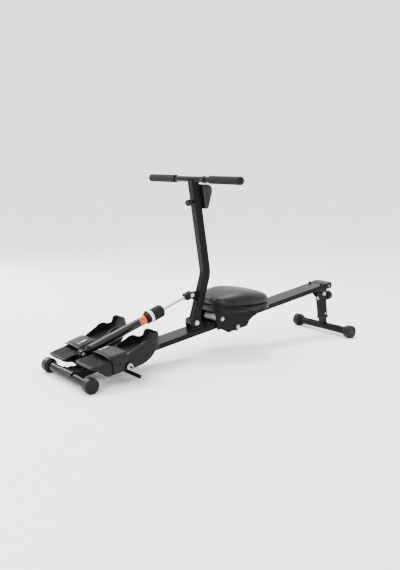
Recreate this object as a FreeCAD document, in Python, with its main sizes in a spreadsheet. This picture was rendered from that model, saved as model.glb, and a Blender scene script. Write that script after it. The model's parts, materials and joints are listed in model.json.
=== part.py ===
import FreeCAD, Part
import math
import os
import re
import Sketcher
from FreeCAD import Placement, Rotation, Vector

# A compact folding rowing machine with one hydraulic cylinder.
# +X runs from the footrests to the seat, +Z is up, and the origin lies on the
# floor in the middle of the machine. Lengths are millimetres, angles degrees.
# Inclined pieces are drawn in local frames: the rail's frame has X along the
# rail and Z square to its top face, and the other frames sit on their pivots.

SIZES = {
    # the whole frame
    "origin_back": 630.7, "rail_slope": 8.7, "rail_rise": 36.4,
    # rail
    "rail_wide": 85, "rail_tall": 20, "rail_wall": 2, "rail_corner": 3,
    "rail_start": 6, "rail_end": 1258,
    "sleeve_start": 1226, "sleeve_end": 1263, "sleeve_side": 2, "sleeve_top": 1.5, "sleeve_drop": 4.5,
    "stop_at": 1208, "stop_apart": 68, "stop_radius": 6, "stop_tall": 7,
    # floor tubes and their end caps
    "tube_radius": 16, "tube_wall": 1.5, "tube_half": 152, "tube_height": 26.6,
    "endcap_inner": 129, "endcap_long": 40, "endcap_radius": 26.6, "endcap_collar": 20.5,
    "saddle_outer": 20.5, "saddle_half": 42.5, "saddle_tongue": 34, "saddle_thick": 3,
    # pedals' axle and stop
    "axle_at": 150.4, "axle_up": 8, "axle_radius": 8, "axle_thin": 5, "axle_half": 171,
    "washer_radius": 11, "washer_thick": 2, "nut_radius": 8.5, "nut_tall": 7, "nut_from": 160.5,
    "peg_at": 166.9, "peg_drop": 27, "peg_radius": 7, "peg_half": 190,
    # pedals
    "pedal_out": 101, "pedal_tilt_left": 8, "pedal_tilt_right": 15,
    "toe_half": 57.5, "hull_half": 52, "shell": 4, "tread_up": 40, "plate_thick": 6,
    "boss_radius": 12, "boss_end": 58.5, "running": 0.05, "strap_thick": 2, "strap_top": 57,
    # cylinder
    "foot_x": 52, "foot_z": 93, "lug_gap": 11, "lug_thick": 3, "lug_radius": 14, "lug_foot": 23,
    "pin_radius": 4, "eye_radius": 13, "eye_half": 10.6, "barrel_radius": 16.25, "barrel_bore": 13,
    "barrel_start": 33, "barrel_end": 276, "label_start": 244, "label_end": 272, "label_thick": 0.35,
    "gland_radius": 12, "collar_end": 292.3, "collar_radius": 21.5, "ring_end": 303.7, "ring_radius": 23,
    "dial_start": 304, "dial_end": 352, "dial_radius": 24.25, "dial_rib": 1.6,
    "rod_radius": 5, "rod_inner": 100, "yoke_start": 461, "yoke_half": 12.5, "yoke_slot": 6.4,
    "yoke_crotch": 473.4, "yoke_pin": 3.5,
    # mast
    "mast_x": 531.8, "mast_z": 140, "mast_lean": 16.8, "mast_turn": 26.1, "mast_half": 16, "mast_wall": 2,
    "mast_bend": 193.7, "bend_radius": 90, "mast_upper": 362.3,
    "yoke_x": 516, "yoke_z": 249, "mast_lug_half": 6, "mast_lug_radius": 11.5, "mast_lug_hole": 7.7,
    "bracket_front": 516, "bracket_back": 564.5, "bracket_gap": 16.5, "bracket_thick": 3, "bracket_top": 41.5,
    "bridge_low": 22, "bolt_radius": 5,
    # handlebar
    "bar_radius": 11, "bar_wall": 1.5, "bar_half": 279, "grip_inner": 105.5, "grip_outer": 280, "grip_radius": 15,
    "clip_at": 71,
    # console
    "console_half": 33, "knob_up": 280, "knob_radius": 12,
    # seat
    "seat_x": 724, "seat_long": 264, "seat_wide": 240, "seat_corner": 75, "pan_low": 178, "pan_top": 190,
    "pan_inset": 3, "cushion_top": 248, "cushion_round": 28,
    "plate_inner": 49, "plate_outer": 52, "roller_half": 45, "roller_radius": 14.7, "roller_up": 15,
    "roller_front_at": 640, "roller_rear_at": 784, "roller_low_at": 712, "roller_low_radius": 18.7,
    "roller_low_drop": 39, "roller_pin": 4,
    # rear stand
    "fold_at": 1234.7, "fold_drop": 48, "leg_half": 16, "leg_wall": 2.2, "leg_long": 106, "bush_long": 9,
    "inner_half": 12.5, "inner_wall": 2, "inner_top": 30, "foot_drop": 150.7,
    "stand_front": 1204, "stand_back": 1254.2, "stand_low": 81, "web_top": 54, "fold_pin": 5,
    "lock_drop": 21, "lock_radius": 20, "pin_drop": 92, "height_pin": 4, "adjust": 40,
}

doc = FreeCAD.newDocument("rowing_machine")
sheet = doc.addObject("Spreadsheet::Sheet", "Size")
for row, (alias, number) in enumerate(SIZES.items(), start=1):
    sheet.set(f"A{row}", alias)
    sheet.set(f"B{row}", str(number))
    sheet.setAlias(f"B{row}", alias)
doc.recompute()


def size(alias):
    return float(sheet.get(alias))


def linked(expression):
    """Put the sheet's name before each alias in an expression."""
    def named(word):
        return "Size." + word.group() if word.group() in SIZES else word.group()
    return re.sub(r"[a-z]\w+", named, str(expression))


# ---------------------------------------------------------------- frames
LATERAL = Rotation(Vector(1, 0, 0), -90)  # local Z along +Y
ALONG = Rotation(Vector(0, 1, 0), 90)  # local Z along +X
FLIP = Rotation(Vector(0, 0, 1), 180)
UPRIGHT = Rotation()


def shift(x=0, y=0, z=0, turn=UPRIGHT):
    return Placement(Vector(x, y, z), turn)


def pitched(angle):
    """A turn that lifts local X by the angle."""
    return Rotation(Vector(0, -1, 0), angle)


FLOOR = shift(-size("origin_back"))
RAIL = FLOOR * shift(z=size("rail_rise"), turn=pitched(size("rail_slope")))
FRONT = FLOOR * shift(z=size("tube_height"))
MAST = FLOOR * shift(size("mast_x"), 0, size("mast_z"), pitched(-size("mast_lean")))
MAST_TOP = MAST * shift(z=size("mast_bend"), turn=pitched(size("mast_turn")))
LEG = RAIL * shift(size("fold_at"), 0, -size("fold_drop"))
REAR = LEG * shift(z=-size("foot_drop"))
SEAT = FLOOR * shift(size("seat_x"))
reach = Vector(size("yoke_x") - size("foot_x"), 0, size("yoke_z") - size("foot_z"))
CYLINDER_ANGLE = math.degrees(math.atan2(reach.z, reach.x))
CYLINDER = FLOOR * shift(size("foot_x"), 0, size("foot_z"), pitched(CYLINDER_ANGLE))
BAR_UP = size("mast_upper")

nodes = []


# ---------------------------------------------------------------- builders
def keep(item, label):
    """Name a finished sub-part and list it for export."""
    item.Label = label
    nodes.append(item)
    return item


def new_body(label, place):
    body = doc.addObject("PartDesign::Body", label)
    body.Placement = place
    return body


def sketch_on(body, role, offset=0):
    """A sketch on one of the body's own planes, moved along its normal."""
    plane = [face for face in body.Origin.OriginFeatures if face.Role == role][0]
    sketch = body.newObject("Sketcher::SketchObject", body.Name + "_sketch")
    sketch.AttachmentSupport = [(plane, "")]
    sketch.MapMode = "FlatFace"
    sketch.setExpression("AttachmentOffset.Base.z", linked(offset))
    return sketch


def polygon(sketch, points):
    """A closed outline whose corners are driven by expressions."""
    count = len(points)
    first = sketch.GeometryCount
    start = [Vector(math.cos(6.283 * i / count), math.sin(6.283 * i / count), 0) for i in range(count)]
    for i in range(count):
        sketch.addGeometry(Part.LineSegment(start[i], start[(i + 1) % count]))
    for i in range(count):
        sketch.addConstraint(Sketcher.Constraint("Coincident", first + i, 2, first + (i + 1) % count, 1))
    for i, corner in enumerate(points):
        for kind, expression in zip(("DistanceX", "DistanceY"), corner):
            where = sketch.addConstraint(Sketcher.Constraint(kind, -1, 1, first + i, 1, 1.0))
            sketch.setExpression(f"Constraints[{where}]", linked(expression))


def rectangle(sketch, left, right, low, high):
    polygon(sketch, [(left, low), (right, low), (right, high), (left, high)])


def circle(sketch, x, y, radius):
    which = sketch.addGeometry(Part.Circle(Vector(0, 0, 0), Vector(0, 0, 1), 1))
    for kind, expression in (("DistanceX", x), ("DistanceY", y)):
        where = sketch.addConstraint(Sketcher.Constraint(kind, -1, 1, which, 3, 1.0))
        sketch.setExpression(f"Constraints[{where}]", linked(expression))
    where = sketch.addConstraint(Sketcher.Constraint("Radius", which, 1.0))
    sketch.setExpression(f"Constraints[{where}]", linked(radius))


def pad(body, sketch, length, symmetric=True):
    feature = body.newObject("PartDesign::Pad", body.Name + "_pad")
    feature.Profile = sketch
    feature.SideType = "Symmetric" if symmetric else "One side"
    feature.setExpression("Length", linked(length))
    doc.recompute()
    return feature


def pocket(body, sketch, length):
    """Cut both ways from the sketch and check that material went."""
    before = body.Shape.Volume
    feature = body.newObject("PartDesign::Pocket", body.Name + "_pocket")
    feature.Profile = sketch
    feature.SideType = "Symmetric"
    feature.setExpression("Length", linked(length))
    doc.recompute()
    if not body.Shape.Volume < before:
        raise RuntimeError("empty pocket in " + body.Name)
    return feature


def soften(body, radius, chosen):
    """Round the edges of a body whose middle the test picks."""
    base = body.Tip
    names = [f"Edge{i}" for i, edge in enumerate(base.Shape.Edges, 1) if chosen(edge, edge.CenterOfMass)]
    feature = body.newObject("PartDesign::Fillet", body.Name + "_fillet")
    feature.Base = (base, names)
    feature.setExpression("Radius", linked(radius))
    doc.recompute()
    return feature


def plate(label, place, outline, thick, role="XZ_Plane"):
    """A flat piece with the given outline, centred on its plane."""
    body = new_body(label, place)
    sketch = sketch_on(body, role)
    polygon(sketch, outline)
    pad(body, sketch, thick)
    return body


def drill(body, x, y, radius, role="XZ_Plane", depth=400):
    sketch = sketch_on(body, role)
    circle(sketch, x, y, radius)
    pocket(body, sketch, depth)


def turned(label, place, outline):
    """A turned piece: an outline of (radius, height) about the local Z axis."""
    body = new_body(label, place)
    sketch = sketch_on(body, "XZ_Plane")
    polygon(sketch, outline)
    feature = body.newObject("PartDesign::Revolution", body.Name + "_turn")
    feature.Profile = sketch
    feature.ReferenceAxis = (sketch, ["V_Axis"])
    feature.Angle = 360
    doc.recompute()
    return body


def pipe_of(label, place, inner, outer, low, high):
    return turned(label, place, [(inner, low), (outer, low), (outer, high), (inner, high)])


def box(label, place, sizes, corner):
    """A box from its corner, in a local frame."""
    item = doc.addObject("Part::Box", label)
    for name, expression in zip(("Length", "Width", "Height"), sizes):
        item.setExpression(name, linked(expression))
    item.Placement = place * shift(*corner)
    return item


def cylinder(label, place, radius, height):
    item = doc.addObject("Part::Cylinder", label)
    item.setExpression("Radius", linked(radius))
    item.setExpression("Height", linked(height))
    item.Placement = place
    return item


def hexagon(label, place, radius, height):
    item = doc.addObject("Part::Prism", label)
    item.Polygon = 6
    item.setExpression("Circumradius", linked(radius))
    item.setExpression("Height", linked(height))
    item.Placement = place
    return item


def cut(base, tool, label="cut"):
    item = doc.addObject("Part::Cut", label)
    item.Base = base
    item.Tool = tool
    return item


def common(base, tool, label="common"):
    item = doc.addObject("Part::Common", label)
    item.Base = base
    item.Tool = tool
    return item


def fuse(items, label="fuse"):
    item = doc.addObject("Part::MultiFuse", label)
    item.Shapes = items
    return item


def group(items, label):
    item = doc.addObject("Part::Compound", label)
    item.Links = items
    return item


def cross_bolt(label, place, shank, half, head, tall):
    """A lateral bolt with a washer and a hexagon at both ends."""
    pieces = [cylinder(label + "_shank", place * shift(y=-half - tall, turn=LATERAL), shank, 2 * (half + tall))]
    for side in (-1, 1):
        turn = LATERAL if side > 0 else FLIP * LATERAL
        pieces.append(cylinder(label + "_washer", place * shift(y=side * half, turn=turn), head + 1.5, 1.4))
        pieces.append(hexagon(label + "_nut", place * shift(y=side * (half + 1.4), turn=turn), head, tall - 2.4))
    return fuse(pieces, label)


# ---------------------------------------------------------------- rail
def main_rail():
    body = new_body("main_rail", RAIL)
    sketch = sketch_on(body, "YZ_Plane", "rail_start")
    rectangle(sketch, "-rail_wide / 2", "rail_wide / 2", "-rail_tall", "0")
    rectangle(sketch, "rail_wall - rail_wide / 2", "rail_wide / 2 - rail_wall",
              "rail_wall - rail_tall", "-rail_wall")
    pad(body, sketch, "rail_end - rail_start", symmetric=False)
    outer = size("rail_wide") / 2 - 0.1
    soften(body, "rail_corner", lambda edge, middle: edge.Length > 900 and abs(middle.y) > outer)
    cope = sketch_on(body, "XZ_Plane")
    drop = size("tube_height") - size("rail_rise")
    slope = math.radians(size("rail_slope"))
    circle(cope, drop * math.sin(slope), drop * math.cos(slope), "tube_radius")
    pocket(body, cope, "2 * rail_wide")
    keep(body, "main_rail")


def rail_end_cap():
    body = new_body("rail_end_cap", RAIL)
    sketch = sketch_on(body, "YZ_Plane", "sleeve_start")
    rectangle(sketch, "-rail_wide / 2 - sleeve_side", "rail_wide / 2 + sleeve_side",
              "-rail_tall - sleeve_drop", "sleeve_top")
    pad(body, sketch, "sleeve_end - sleeve_start", symmetric=False)
    end = size("sleeve_end")
    soften(body, "sleeve_side + 0.5", lambda edge, middle: middle.x > end - 0.1 or abs(edge.Length - 37) < 0.5)
    hollow = sketch_on(body, "YZ_Plane", "sleeve_start")
    rectangle(hollow, "-rail_wide / 2", "rail_wide / 2", "-rail_tall", "0")
    pocket(body, hollow, "2 * (rail_end - sleeve_start)")
    keep(body, "rail_end_cap")


def rail_stops():
    knobs = []
    for side in (-1, 1):
        spot = RAIL * shift(size("stop_at"), side * size("stop_apart") / 2, 0)
        knobs.append(turned("stop", spot, [(0, 0), ("stop_radius", 0), ("stop_radius", "stop_tall - 2"),
                                           ("stop_radius - 2", "stop_tall"), (0, "stop_tall")]))
    keep(group(knobs, "rail_stops"), "rail_stops")


def floor_tube(label, place):
    keep(pipe_of(label, place * shift(turn=LATERAL), "tube_radius - tube_wall", "tube_radius",
                 "-tube_half", "tube_half"), label)


def end_cap(label, place, side):
    """A push-on cap: a collar over the tube and a broad dished wheel with a flat underneath."""
    turn = LATERAL if side > 0 else FLIP * LATERAL
    spot = place * shift(y=side * size("endcap_inner"), turn=turn)
    outline = [
        ("tube_radius", 0), ("endcap_collar", 0), ("endcap_collar", 8), ("endcap_radius - 3", 9.5),
        ("endcap_radius", 12.5), ("endcap_radius", "endcap_long - 3"), ("endcap_radius - 3", "endcap_long"),
        ("endcap_radius - 6", "endcap_long"), ("endcap_radius - 8", "endcap_long - 2"), (0, "endcap_long - 2"),
        (0, "tube_half - endcap_inner"), ("tube_radius", "tube_half - endcap_inner")]
    inner = size("endcap_inner") + 13
    outer = size("endcap_inner") + size("endcap_long") - 3.5
    foot = box(label + "_foot", Placement(place.Base, UPRIGHT), (14, outer - inner, 7),
               (-7, inner if side > 0 else -outer, -size("endcap_radius")))
    keep(fuse([turned(label + "_wheel", spot, outline), foot], label), label)


def front_saddle():
    wide = size("saddle_half")
    side = FRONT * shift(y=-wide, turn=LATERAL)
    hood = cylinder("hood", side, "saddle_outer", "2 * saddle_half")
    above = box("above", RAIL, (50, "2 * saddle_half", 30), (-16, -wide, 0))
    tongue = box("tongue", RAIL, ("saddle_tongue", "2 * saddle_half", "saddle_thick"), (0, -wide, 0))
    tube = cylinder("tube_space", side, "tube_radius", "2 * saddle_half")
    keep(cut(fuse([common(hood, above), tongue]), tube, "front_saddle"), "front_saddle")


# ---------------------------------------------------------------- pedals' axle
def pedal_axle():
    spot = RAIL * shift(size("axle_at"), 0, size("axle_up"), LATERAL)
    half = size("rail_wide") / 2
    rod = turned("axle_rod", spot, [
        (0, "-axle_half"), ("axle_thin", "-axle_half"), ("axle_thin", -half), ("axle_radius", -half),
        ("axle_radius", half), ("axle_thin", half), ("axle_thin", "axle_half"), (0, "axle_half")])
    weld = box("axle_weld", RAIL, (9, "rail_wide - 12", "axle_up"), (size("axle_at") - 4.5, 6 - half, 0))
    keep(fuse([rod, weld], "pedal_axle"), "pedal_axle")


def pedal_axle_nuts():
    centre = RAIL * shift(size("axle_at"), 0, size("axle_up"))
    ends = []
    for side in (-1, 1):
        turn = LATERAL if side > 0 else FLIP * LATERAL
        start = size("nut_from")
        disc = cylinder("washer", centre * shift(y=side * start, turn=turn), "washer_radius", "washer_thick")
        six = hexagon("nut", centre * shift(y=side * (start + size("washer_thick")), turn=turn),
                      "nut_radius", "nut_tall")
        hole = cylinder("nut_bore", centre * shift(y=side * (start - 1), turn=turn), "axle_thin", 20)
        ends.append(cut(fuse([disc, six]), hole))
    keep(group(ends, "pedal_axle_nuts"), "pedal_axle_nuts")


def pedal_stop_rod():
    spot = RAIL * shift(size("peg_at"), 0, -size("peg_drop"), LATERAL)
    keep(turned("pedal_stop_rod", spot, [
        (0, "-peg_half"), ("peg_radius - 3", "-peg_half"), ("peg_radius", "3 - peg_half"),
        ("peg_radius", "peg_half - 3"), ("peg_radius - 3", "peg_half"), (0, "peg_half")]), "pedal_stop_rod")


# ---------------------------------------------------------------- pedals
def face_of(points):
    """A face in the XZ plane from points, where a middle point of three makes an arc."""
    edges = []
    last = Vector(points[0][0], 0, points[0][1])
    for step in points[1:] + [points[0]]:
        end = Vector(step[-2], 0, step[-1])
        if len(step) == 4:
            edges.append(Part.Arc(last, Vector(step[0], 0, step[1]), end).toShape())
        else:
            edges.append(Part.LineSegment(last, end).toShape())
        last = end
    return Part.Face(Part.Wire(edges))


def slab_of(points, half_from, half_to):
    """An XZ outline carried from one Y to another."""
    face = face_of(points)
    face.translate(Vector(0, half_from, 0))
    return face.extrude(Vector(0, half_to - half_from, 0))


def rounded_plan(front, back, half, nose, heel, low, high):
    """An upright block with rounded corners: nose at the front, heel at the back."""
    block = Part.makeBox(back - front, 2 * half, high - low, Vector(front, -half, low))
    upright = [edge for edge in block.Edges if abs(edge.tangentAt(edge.FirstParameter).z) > 0.9]
    noses = [edge for edge in upright if edge.CenterOfMass.x < (front + back) / 2]
    heels = [edge for edge in upright if edge.CenterOfMass.x > (front + back) / 2]
    return block.makeFillet(nose, noses).makeFillet(heel, [
        edge for edge in block.makeFillet(nose, noses).Edges
        if any(edge.CenterOfMass.distanceToPoint(old.CenterOfMass) < 0.01 for old in heels)])


def pedal_shape(outward):
    """The moulded footrest about its axle: toe tread, heel cup, hollow underside."""
    half = size("hull_half")
    shell = size("shell")
    tread = size("tread_up")
    skin = slab_of([
        (-138, tread), (-138, 29), (-121, 20), (-110, 16), (-101, 7), (-92, -6, -76, -11), (-12, -11),
        (20, -13), (40, -11), (72, -6, 98, 8), (112, 20), (140, 36, 153, 60), (151, 74, 143, 77),
        (136, 75), (127, 55), (117, 53, 105, 58), (84, 66, 60, 60), (30, 52), (12, 47), (2, tread)], -half, half)
    skin = skin.common(rounded_plan(-138, 153, half, 8, 45, -40, 100))
    cup = slab_of([
        (4, tread + 40), (4, tread), (30, 34), (96, 32), (118, 36, 131, 46), (146, 66), (150, 100)],
        shell - half, half - shell)
    cup = cup.common(rounded_plan(0, 153 - shell, half - shell, 1, 45 - shell, 0, 110))
    under = slab_of([
        (-118, -30), (-118, 34), (0, 34), (30, 28), (92, 26), (112, 26), (98, 12), (92, 5), (88, -30)],
        shell - half, half - shell)
    tray = rounded_plan(-141, -60, size("toe_half"), 9, 9, tread - size("plate_thick"), tread)
    shape = skin.cut(cup).cut(under).fuse(tray)
    for place in (-84, -46, 46, 78):
        rib = Part.makeBox(2.4, 2 * half - 2, 46, Vector(place, 1 - half, -11))
        shape = shape.fuse(rib.common(skin).cut(cup))
    reach_out = size("boss_end")
    low = -half if outward > 0 else -reach_out
    high = reach_out if outward > 0 else half
    axis = Vector(0, 1, 0)
    boss = Part.makeCylinder(size("boss_radius"), high - low, Vector(0, low, 0), axis)
    bore = Part.makeCylinder(size("axle_thin") + size("running"), 200, Vector(0, -100, 0), axis)
    shape = shape.fuse(boss).cut(bore)
    for lane in range(-5, 6):
        shape = shape.cut(Part.makeBox(72, 1.6, 0.9, Vector(-136, lane * 10 - 0.8, tread - 0.9)))
    for row in range(8):
        shape = shape.cut(Part.makeBox(1.6, 106, 0.9, Vector(-133 + row * 9.4, -53, tread - 0.9)))
    for slot_at in (-56, -12):
        for lane in (-30, 30):
            shape = shape.cut(Part.makeBox(10, 26, 60, Vector(slot_at, lane - 13, 0)))
    return shape.removeSplitter()


def pedal(label, side, tilt):
    item = doc.addObject("Part::Feature", label)
    item.Shape = pedal_shape(side)
    centre = RAIL * Vector(size("axle_at"), 0, size("axle_up"))
    item.Placement = shift(centre.x, side * size("pedal_out"), centre.z, pitched(size(tilt)))
    keep(item, label)


def strap_shape(outward):
    """A broad band over the instep, down both sides of the footrest."""
    left = -58 if outward < 0 else -56
    right = 58 if outward > 0 else 56
    thick = size("strap_thick")
    low = -6
    high = size("strap_top")
    corner = 18

    def band(inset):
        a, b, top, turn = left + inset, right - inset, high - inset, corner - inset
        lean = turn * 0.2929
        middle = (a + b) / 2
        return Part.Face(Part.Wire([
            Part.LineSegment(Vector(0, a, low), Vector(0, a, top - turn - 2)).toShape(),
            Part.Arc(Vector(0, a, top - turn - 2), Vector(0, a + lean, top - lean - 2),
                     Vector(0, a + turn, top - 2)).toShape(),
            Part.Arc(Vector(0, a + turn, top - 2), Vector(0, middle, top), Vector(0, b - turn, top - 2)).toShape(),
            Part.Arc(Vector(0, b - turn, top - 2), Vector(0, b - lean, top - lean - 2),
                     Vector(0, b, top - turn - 2)).toShape(),
            Part.LineSegment(Vector(0, b, top - turn - 2), Vector(0, b, low)).toShape(),
            Part.LineSegment(Vector(0, b, low), Vector(0, a, low)).toShape()]))

    ring = band(0).cut(band(thick))
    ring.translate(Vector(-76, 0, 0))
    arch = ring.extrude(Vector(75, 0, 0))
    tray = Part.makeBox(17, 140, 80, Vector(-76.5, -70, size("tread_up") - 79.5))
    rear = slab_of([(-24, low - 1), (5, low - 1), (5, 34), (-1, 34)], -70, 70)
    return arch.cut(tray).cut(rear)


def pedal_strap(label, side, tilt):
    item = doc.addObject("Part::Feature", label)
    item.Shape = strap_shape(side)
    centre = RAIL * Vector(size("axle_at"), 0, size("axle_up"))
    item.Placement = shift(centre.x, side * size("pedal_out"), centre.z, pitched(size(tilt)))
    keep(item, label)


# ---------------------------------------------------------------- hydraulic cylinder
def cylinder_lug():
    """Two upright cheeks on the rail that hold the cylinder's eye."""
    foot = RAIL.inverse() * CYLINDER.Base
    cheeks = []
    for side in (-1, 1):
        middle = side * (size("lug_gap") + size("lug_thick") / 2)
        cheek = plate("lug_cheek", RAIL * shift(foot.x, middle, 0), [
            ("-lug_foot", 0), ("lug_foot", 0), ("lug_foot", 6), ("lug_radius", foot.z), ("lug_radius", f"{foot.z} + 14"),
            ("-lug_radius", f"{foot.z} + 14"), ("-lug_radius", foot.z), ("-lug_foot", 6)], "lug_thick")
        soften(cheek, "lug_radius - 0.2", lambda edge, at: at.z > foot.z + 13 and abs(edge.Length - 3) < 0.01)
        drill(cheek, 0, foot.z, "pin_radius")
        cheeks.append(cheek)
    base = box("lug_base", RAIL, ("2 * lug_foot", "2 * lug_gap + 0.2", 3),
               (foot.x - size("lug_foot"), -size("lug_gap") - 0.1, 0))
    keep(fuse(cheeks + [base], "cylinder_lug"), "cylinder_lug")


def cylinder_lug_bolt():
    half = size("lug_gap") + size("lug_thick")
    keep(cross_bolt("cylinder_lug_bolt", CYLINDER, "pin_radius", half, 7, 6.5), "cylinder_lug_bolt")


def cylinder_eye():
    half = size("eye_half")
    ring = cylinder("eye_ring", CYLINDER * shift(y=-half, turn=LATERAL), "eye_radius", "2 * eye_half")
    neck = turned("eye_neck", CYLINDER * shift(turn=ALONG), [
        (0, 4), (9, 4), (9, 18), ("barrel_radius - 2", 27), ("barrel_radius", 29), ("barrel_radius", "barrel_start"),
        (0, "barrel_start")])
    bore = cylinder("eye_bore", CYLINDER * shift(y=-30, turn=LATERAL), "pin_radius + running", 60)
    keep(cut(fuse([ring, neck]), bore, "cylinder_eye"), "cylinder_eye")


def cylinder_barrel():
    """The pressure tube with the gland that guides the rod."""
    keep(turned("cylinder_barrel", CYLINDER * shift(turn=ALONG), [
        (0, "barrel_start"), ("barrel_radius", "barrel_start"), ("barrel_radius", "barrel_end"),
        ("gland_radius", "barrel_end"), ("gland_radius", "dial_end - 1"), ("rod_radius + running", "dial_end - 1"),
        ("rod_radius + running", "barrel_end - 10"), ("barrel_bore", "barrel_end - 10"),
        ("barrel_bore", "barrel_start + 8"), (0, "barrel_start + 8")]), "cylinder_barrel")


def cylinder_label():
    keep(pipe_of("cylinder_label", CYLINDER * shift(turn=ALONG), "barrel_radius", "barrel_radius + label_thick",
                 "label_start", "label_end"), "cylinder_label")


def neck_collar():
    """A flange at the barrel's mouth with a small eyelet on top."""
    flange = turned("collar_flange", CYLINDER * shift(turn=ALONG), [
        ("gland_radius", "barrel_end"), ("collar_radius - 2", "barrel_end"), ("collar_radius", "barrel_end + 2"),
        ("collar_radius", "collar_end - 1.5"), ("collar_radius - 1.5", "collar_end"), ("gland_radius", "collar_end")])
    middle = size("barrel_end") + 8
    tab = cylinder("collar_tab", CYLINDER * shift(middle, -3, size("collar_radius") + 1, LATERAL), 6, 6)
    eyelet = cylinder("collar_eyelet", CYLINDER * shift(middle, -5, size("collar_radius") + 2.6, LATERAL), 2.2, 10)
    bore = cylinder("collar_bore", CYLINDER * shift(size("barrel_end") - 5, turn=ALONG), "gland_radius", 30)
    keep(cut(cut(fuse([flange, tab]), eyelet), bore, "neck_collar"), "neck_collar")


def scale_ring():
    keep(turned("scale_ring", CYLINDER * shift(turn=ALONG), [
        ("gland_radius", "collar_end"), ("ring_radius - 1", "collar_end"), ("ring_radius", "collar_end + 1"),
        ("ring_radius", "ring_end - 1"), ("ring_radius - 1", "ring_end"), ("gland_radius", "ring_end")]), "scale_ring")


def resistance_dial():
    """A ribbed hand knob on the gland."""
    body = turned("resistance_dial", CYLINDER * shift(turn=ALONG), [
        ("gland_radius + running", "dial_start"), ("dial_radius - 1.5", "dial_start"),
        ("dial_radius", "dial_start + 1.5"), ("dial_radius", "dial_end - 5"), ("dial_radius - 5", "dial_end"),
        ("gland_radius + running", "dial_end")])
    sketch = sketch_on(body, "XY_Plane")
    circle(sketch, "dial_radius + 0.6", 0, "dial_rib")
    feature = body.newObject("PartDesign::Pocket", "dial_flute")
    feature.Profile = sketch
    feature.SideType = "Symmetric"
    feature.setExpression("Length", linked("2 * dial_end + 20"))
    doc.recompute()
    ring = body.newObject("PartDesign::PolarPattern", "dial_flutes")
    ring.Originals = [feature]
    ring.Axis = (sketch, ["N_Axis"])
    ring.Angle = 360
    ring.Occurrences = 30
    body.Tip = ring
    keep(body, "resistance_dial")


def piston_rod():
    keep(turned("piston_rod", CYLINDER * shift(turn=ALONG), [
        (0, "rod_inner"), ("barrel_bore - running", "rod_inner"), ("barrel_bore - running", "rod_inner + 12"),
        ("rod_radius", "rod_inner + 12"), ("rod_radius", "yoke_start"), (0, "yoke_start")]), "piston_rod")


def rod_yoke():
    """The fork at the rod's end."""
    pivot = reach.Length
    fork = plate("fork", CYLINDER, [
        ("yoke_start", "3 - yoke_half"), ("yoke_start + 3", "-yoke_half"), (pivot + size("yoke_half"), "-yoke_half"),
        (pivot + size("yoke_half"), "yoke_half"), ("yoke_start + 3", "yoke_half"),
        ("yoke_start", "yoke_half - 3")], "2 * yoke_half")
    far = pivot + size("yoke_half")
    soften(fork, "yoke_half - 0.3", lambda edge, at: at.x > far - 0.1 and edge.Length > 20 and abs(at.y) < 0.1)
    slot = sketch_on(fork, "XY_Plane")
    rectangle(slot, "yoke_crotch", far + 5, "-yoke_slot", "yoke_slot")
    pocket(fork, slot, 60)
    drill(fork, pivot, 0, "yoke_pin")
    keep(fork, "rod_yoke")


def yoke_bolt():
    keep(cross_bolt("yoke_bolt", CYLINDER * shift(reach.Length), "yoke_pin", size("yoke_half"), 6.5, 6), "yoke_bolt")


# ---------------------------------------------------------------- mast
def mast_bracket():
    """A folded U on the rail: a base and two cheeks."""
    pivot = RAIL.inverse() * MAST.Base
    cheeks = []
    for side in (-1, 1):
        middle = side * (size("bracket_gap") + size("bracket_thick") / 2)
        cheek = plate("mast_cheek", RAIL * shift(y=middle), [
            ("bracket_front", 0), ("bracket_back", 0), ("bracket_back", "bracket_top"),
            ("bracket_front", "bracket_top")], "bracket_thick")
        top = size("bracket_top") - 0.1
        soften(cheek, 11, lambda edge, at: at.z > top and abs(edge.Length - 3) < 0.01)
        drill(cheek, pivot.x, pivot.z, "bolt_radius")
        cheeks.append(cheek)
    base = box("bracket_base", RAIL, ("bracket_back - bracket_front", "2 * bracket_gap + 0.2", "bracket_thick"),
               (size("bracket_front"), -size("bracket_gap") - 0.1, 0))
    keep(fuse(cheeks + [base], "mast_bracket"), "mast_bracket")


def bracket_bridge():
    """A stop plate across the front of the bracket's upper half."""
    body = new_body("bracket_bridge", RAIL)
    sketch = sketch_on(body, "YZ_Plane", "bracket_front")
    rectangle(sketch, "-bracket_gap", "bracket_gap", "bridge_low", "bracket_top + 1")
    pad(body, sketch, "bracket_thick", symmetric=False)
    top = size("bracket_top") + 0.9
    soften(body, 12, lambda edge, at: at.z > top and abs(edge.Length - 3) < 0.01)
    drill(body, 0, "bridge_low + 11", 2.5, "YZ_Plane", 1300)
    keep(body, "bracket_bridge")


def mast_pivot_bolt():
    half = size("bracket_gap") + size("bracket_thick")
    keep(cross_bolt("mast_pivot_bolt", MAST, "bolt_radius", half, 8, 8), "mast_pivot_bolt")


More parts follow.
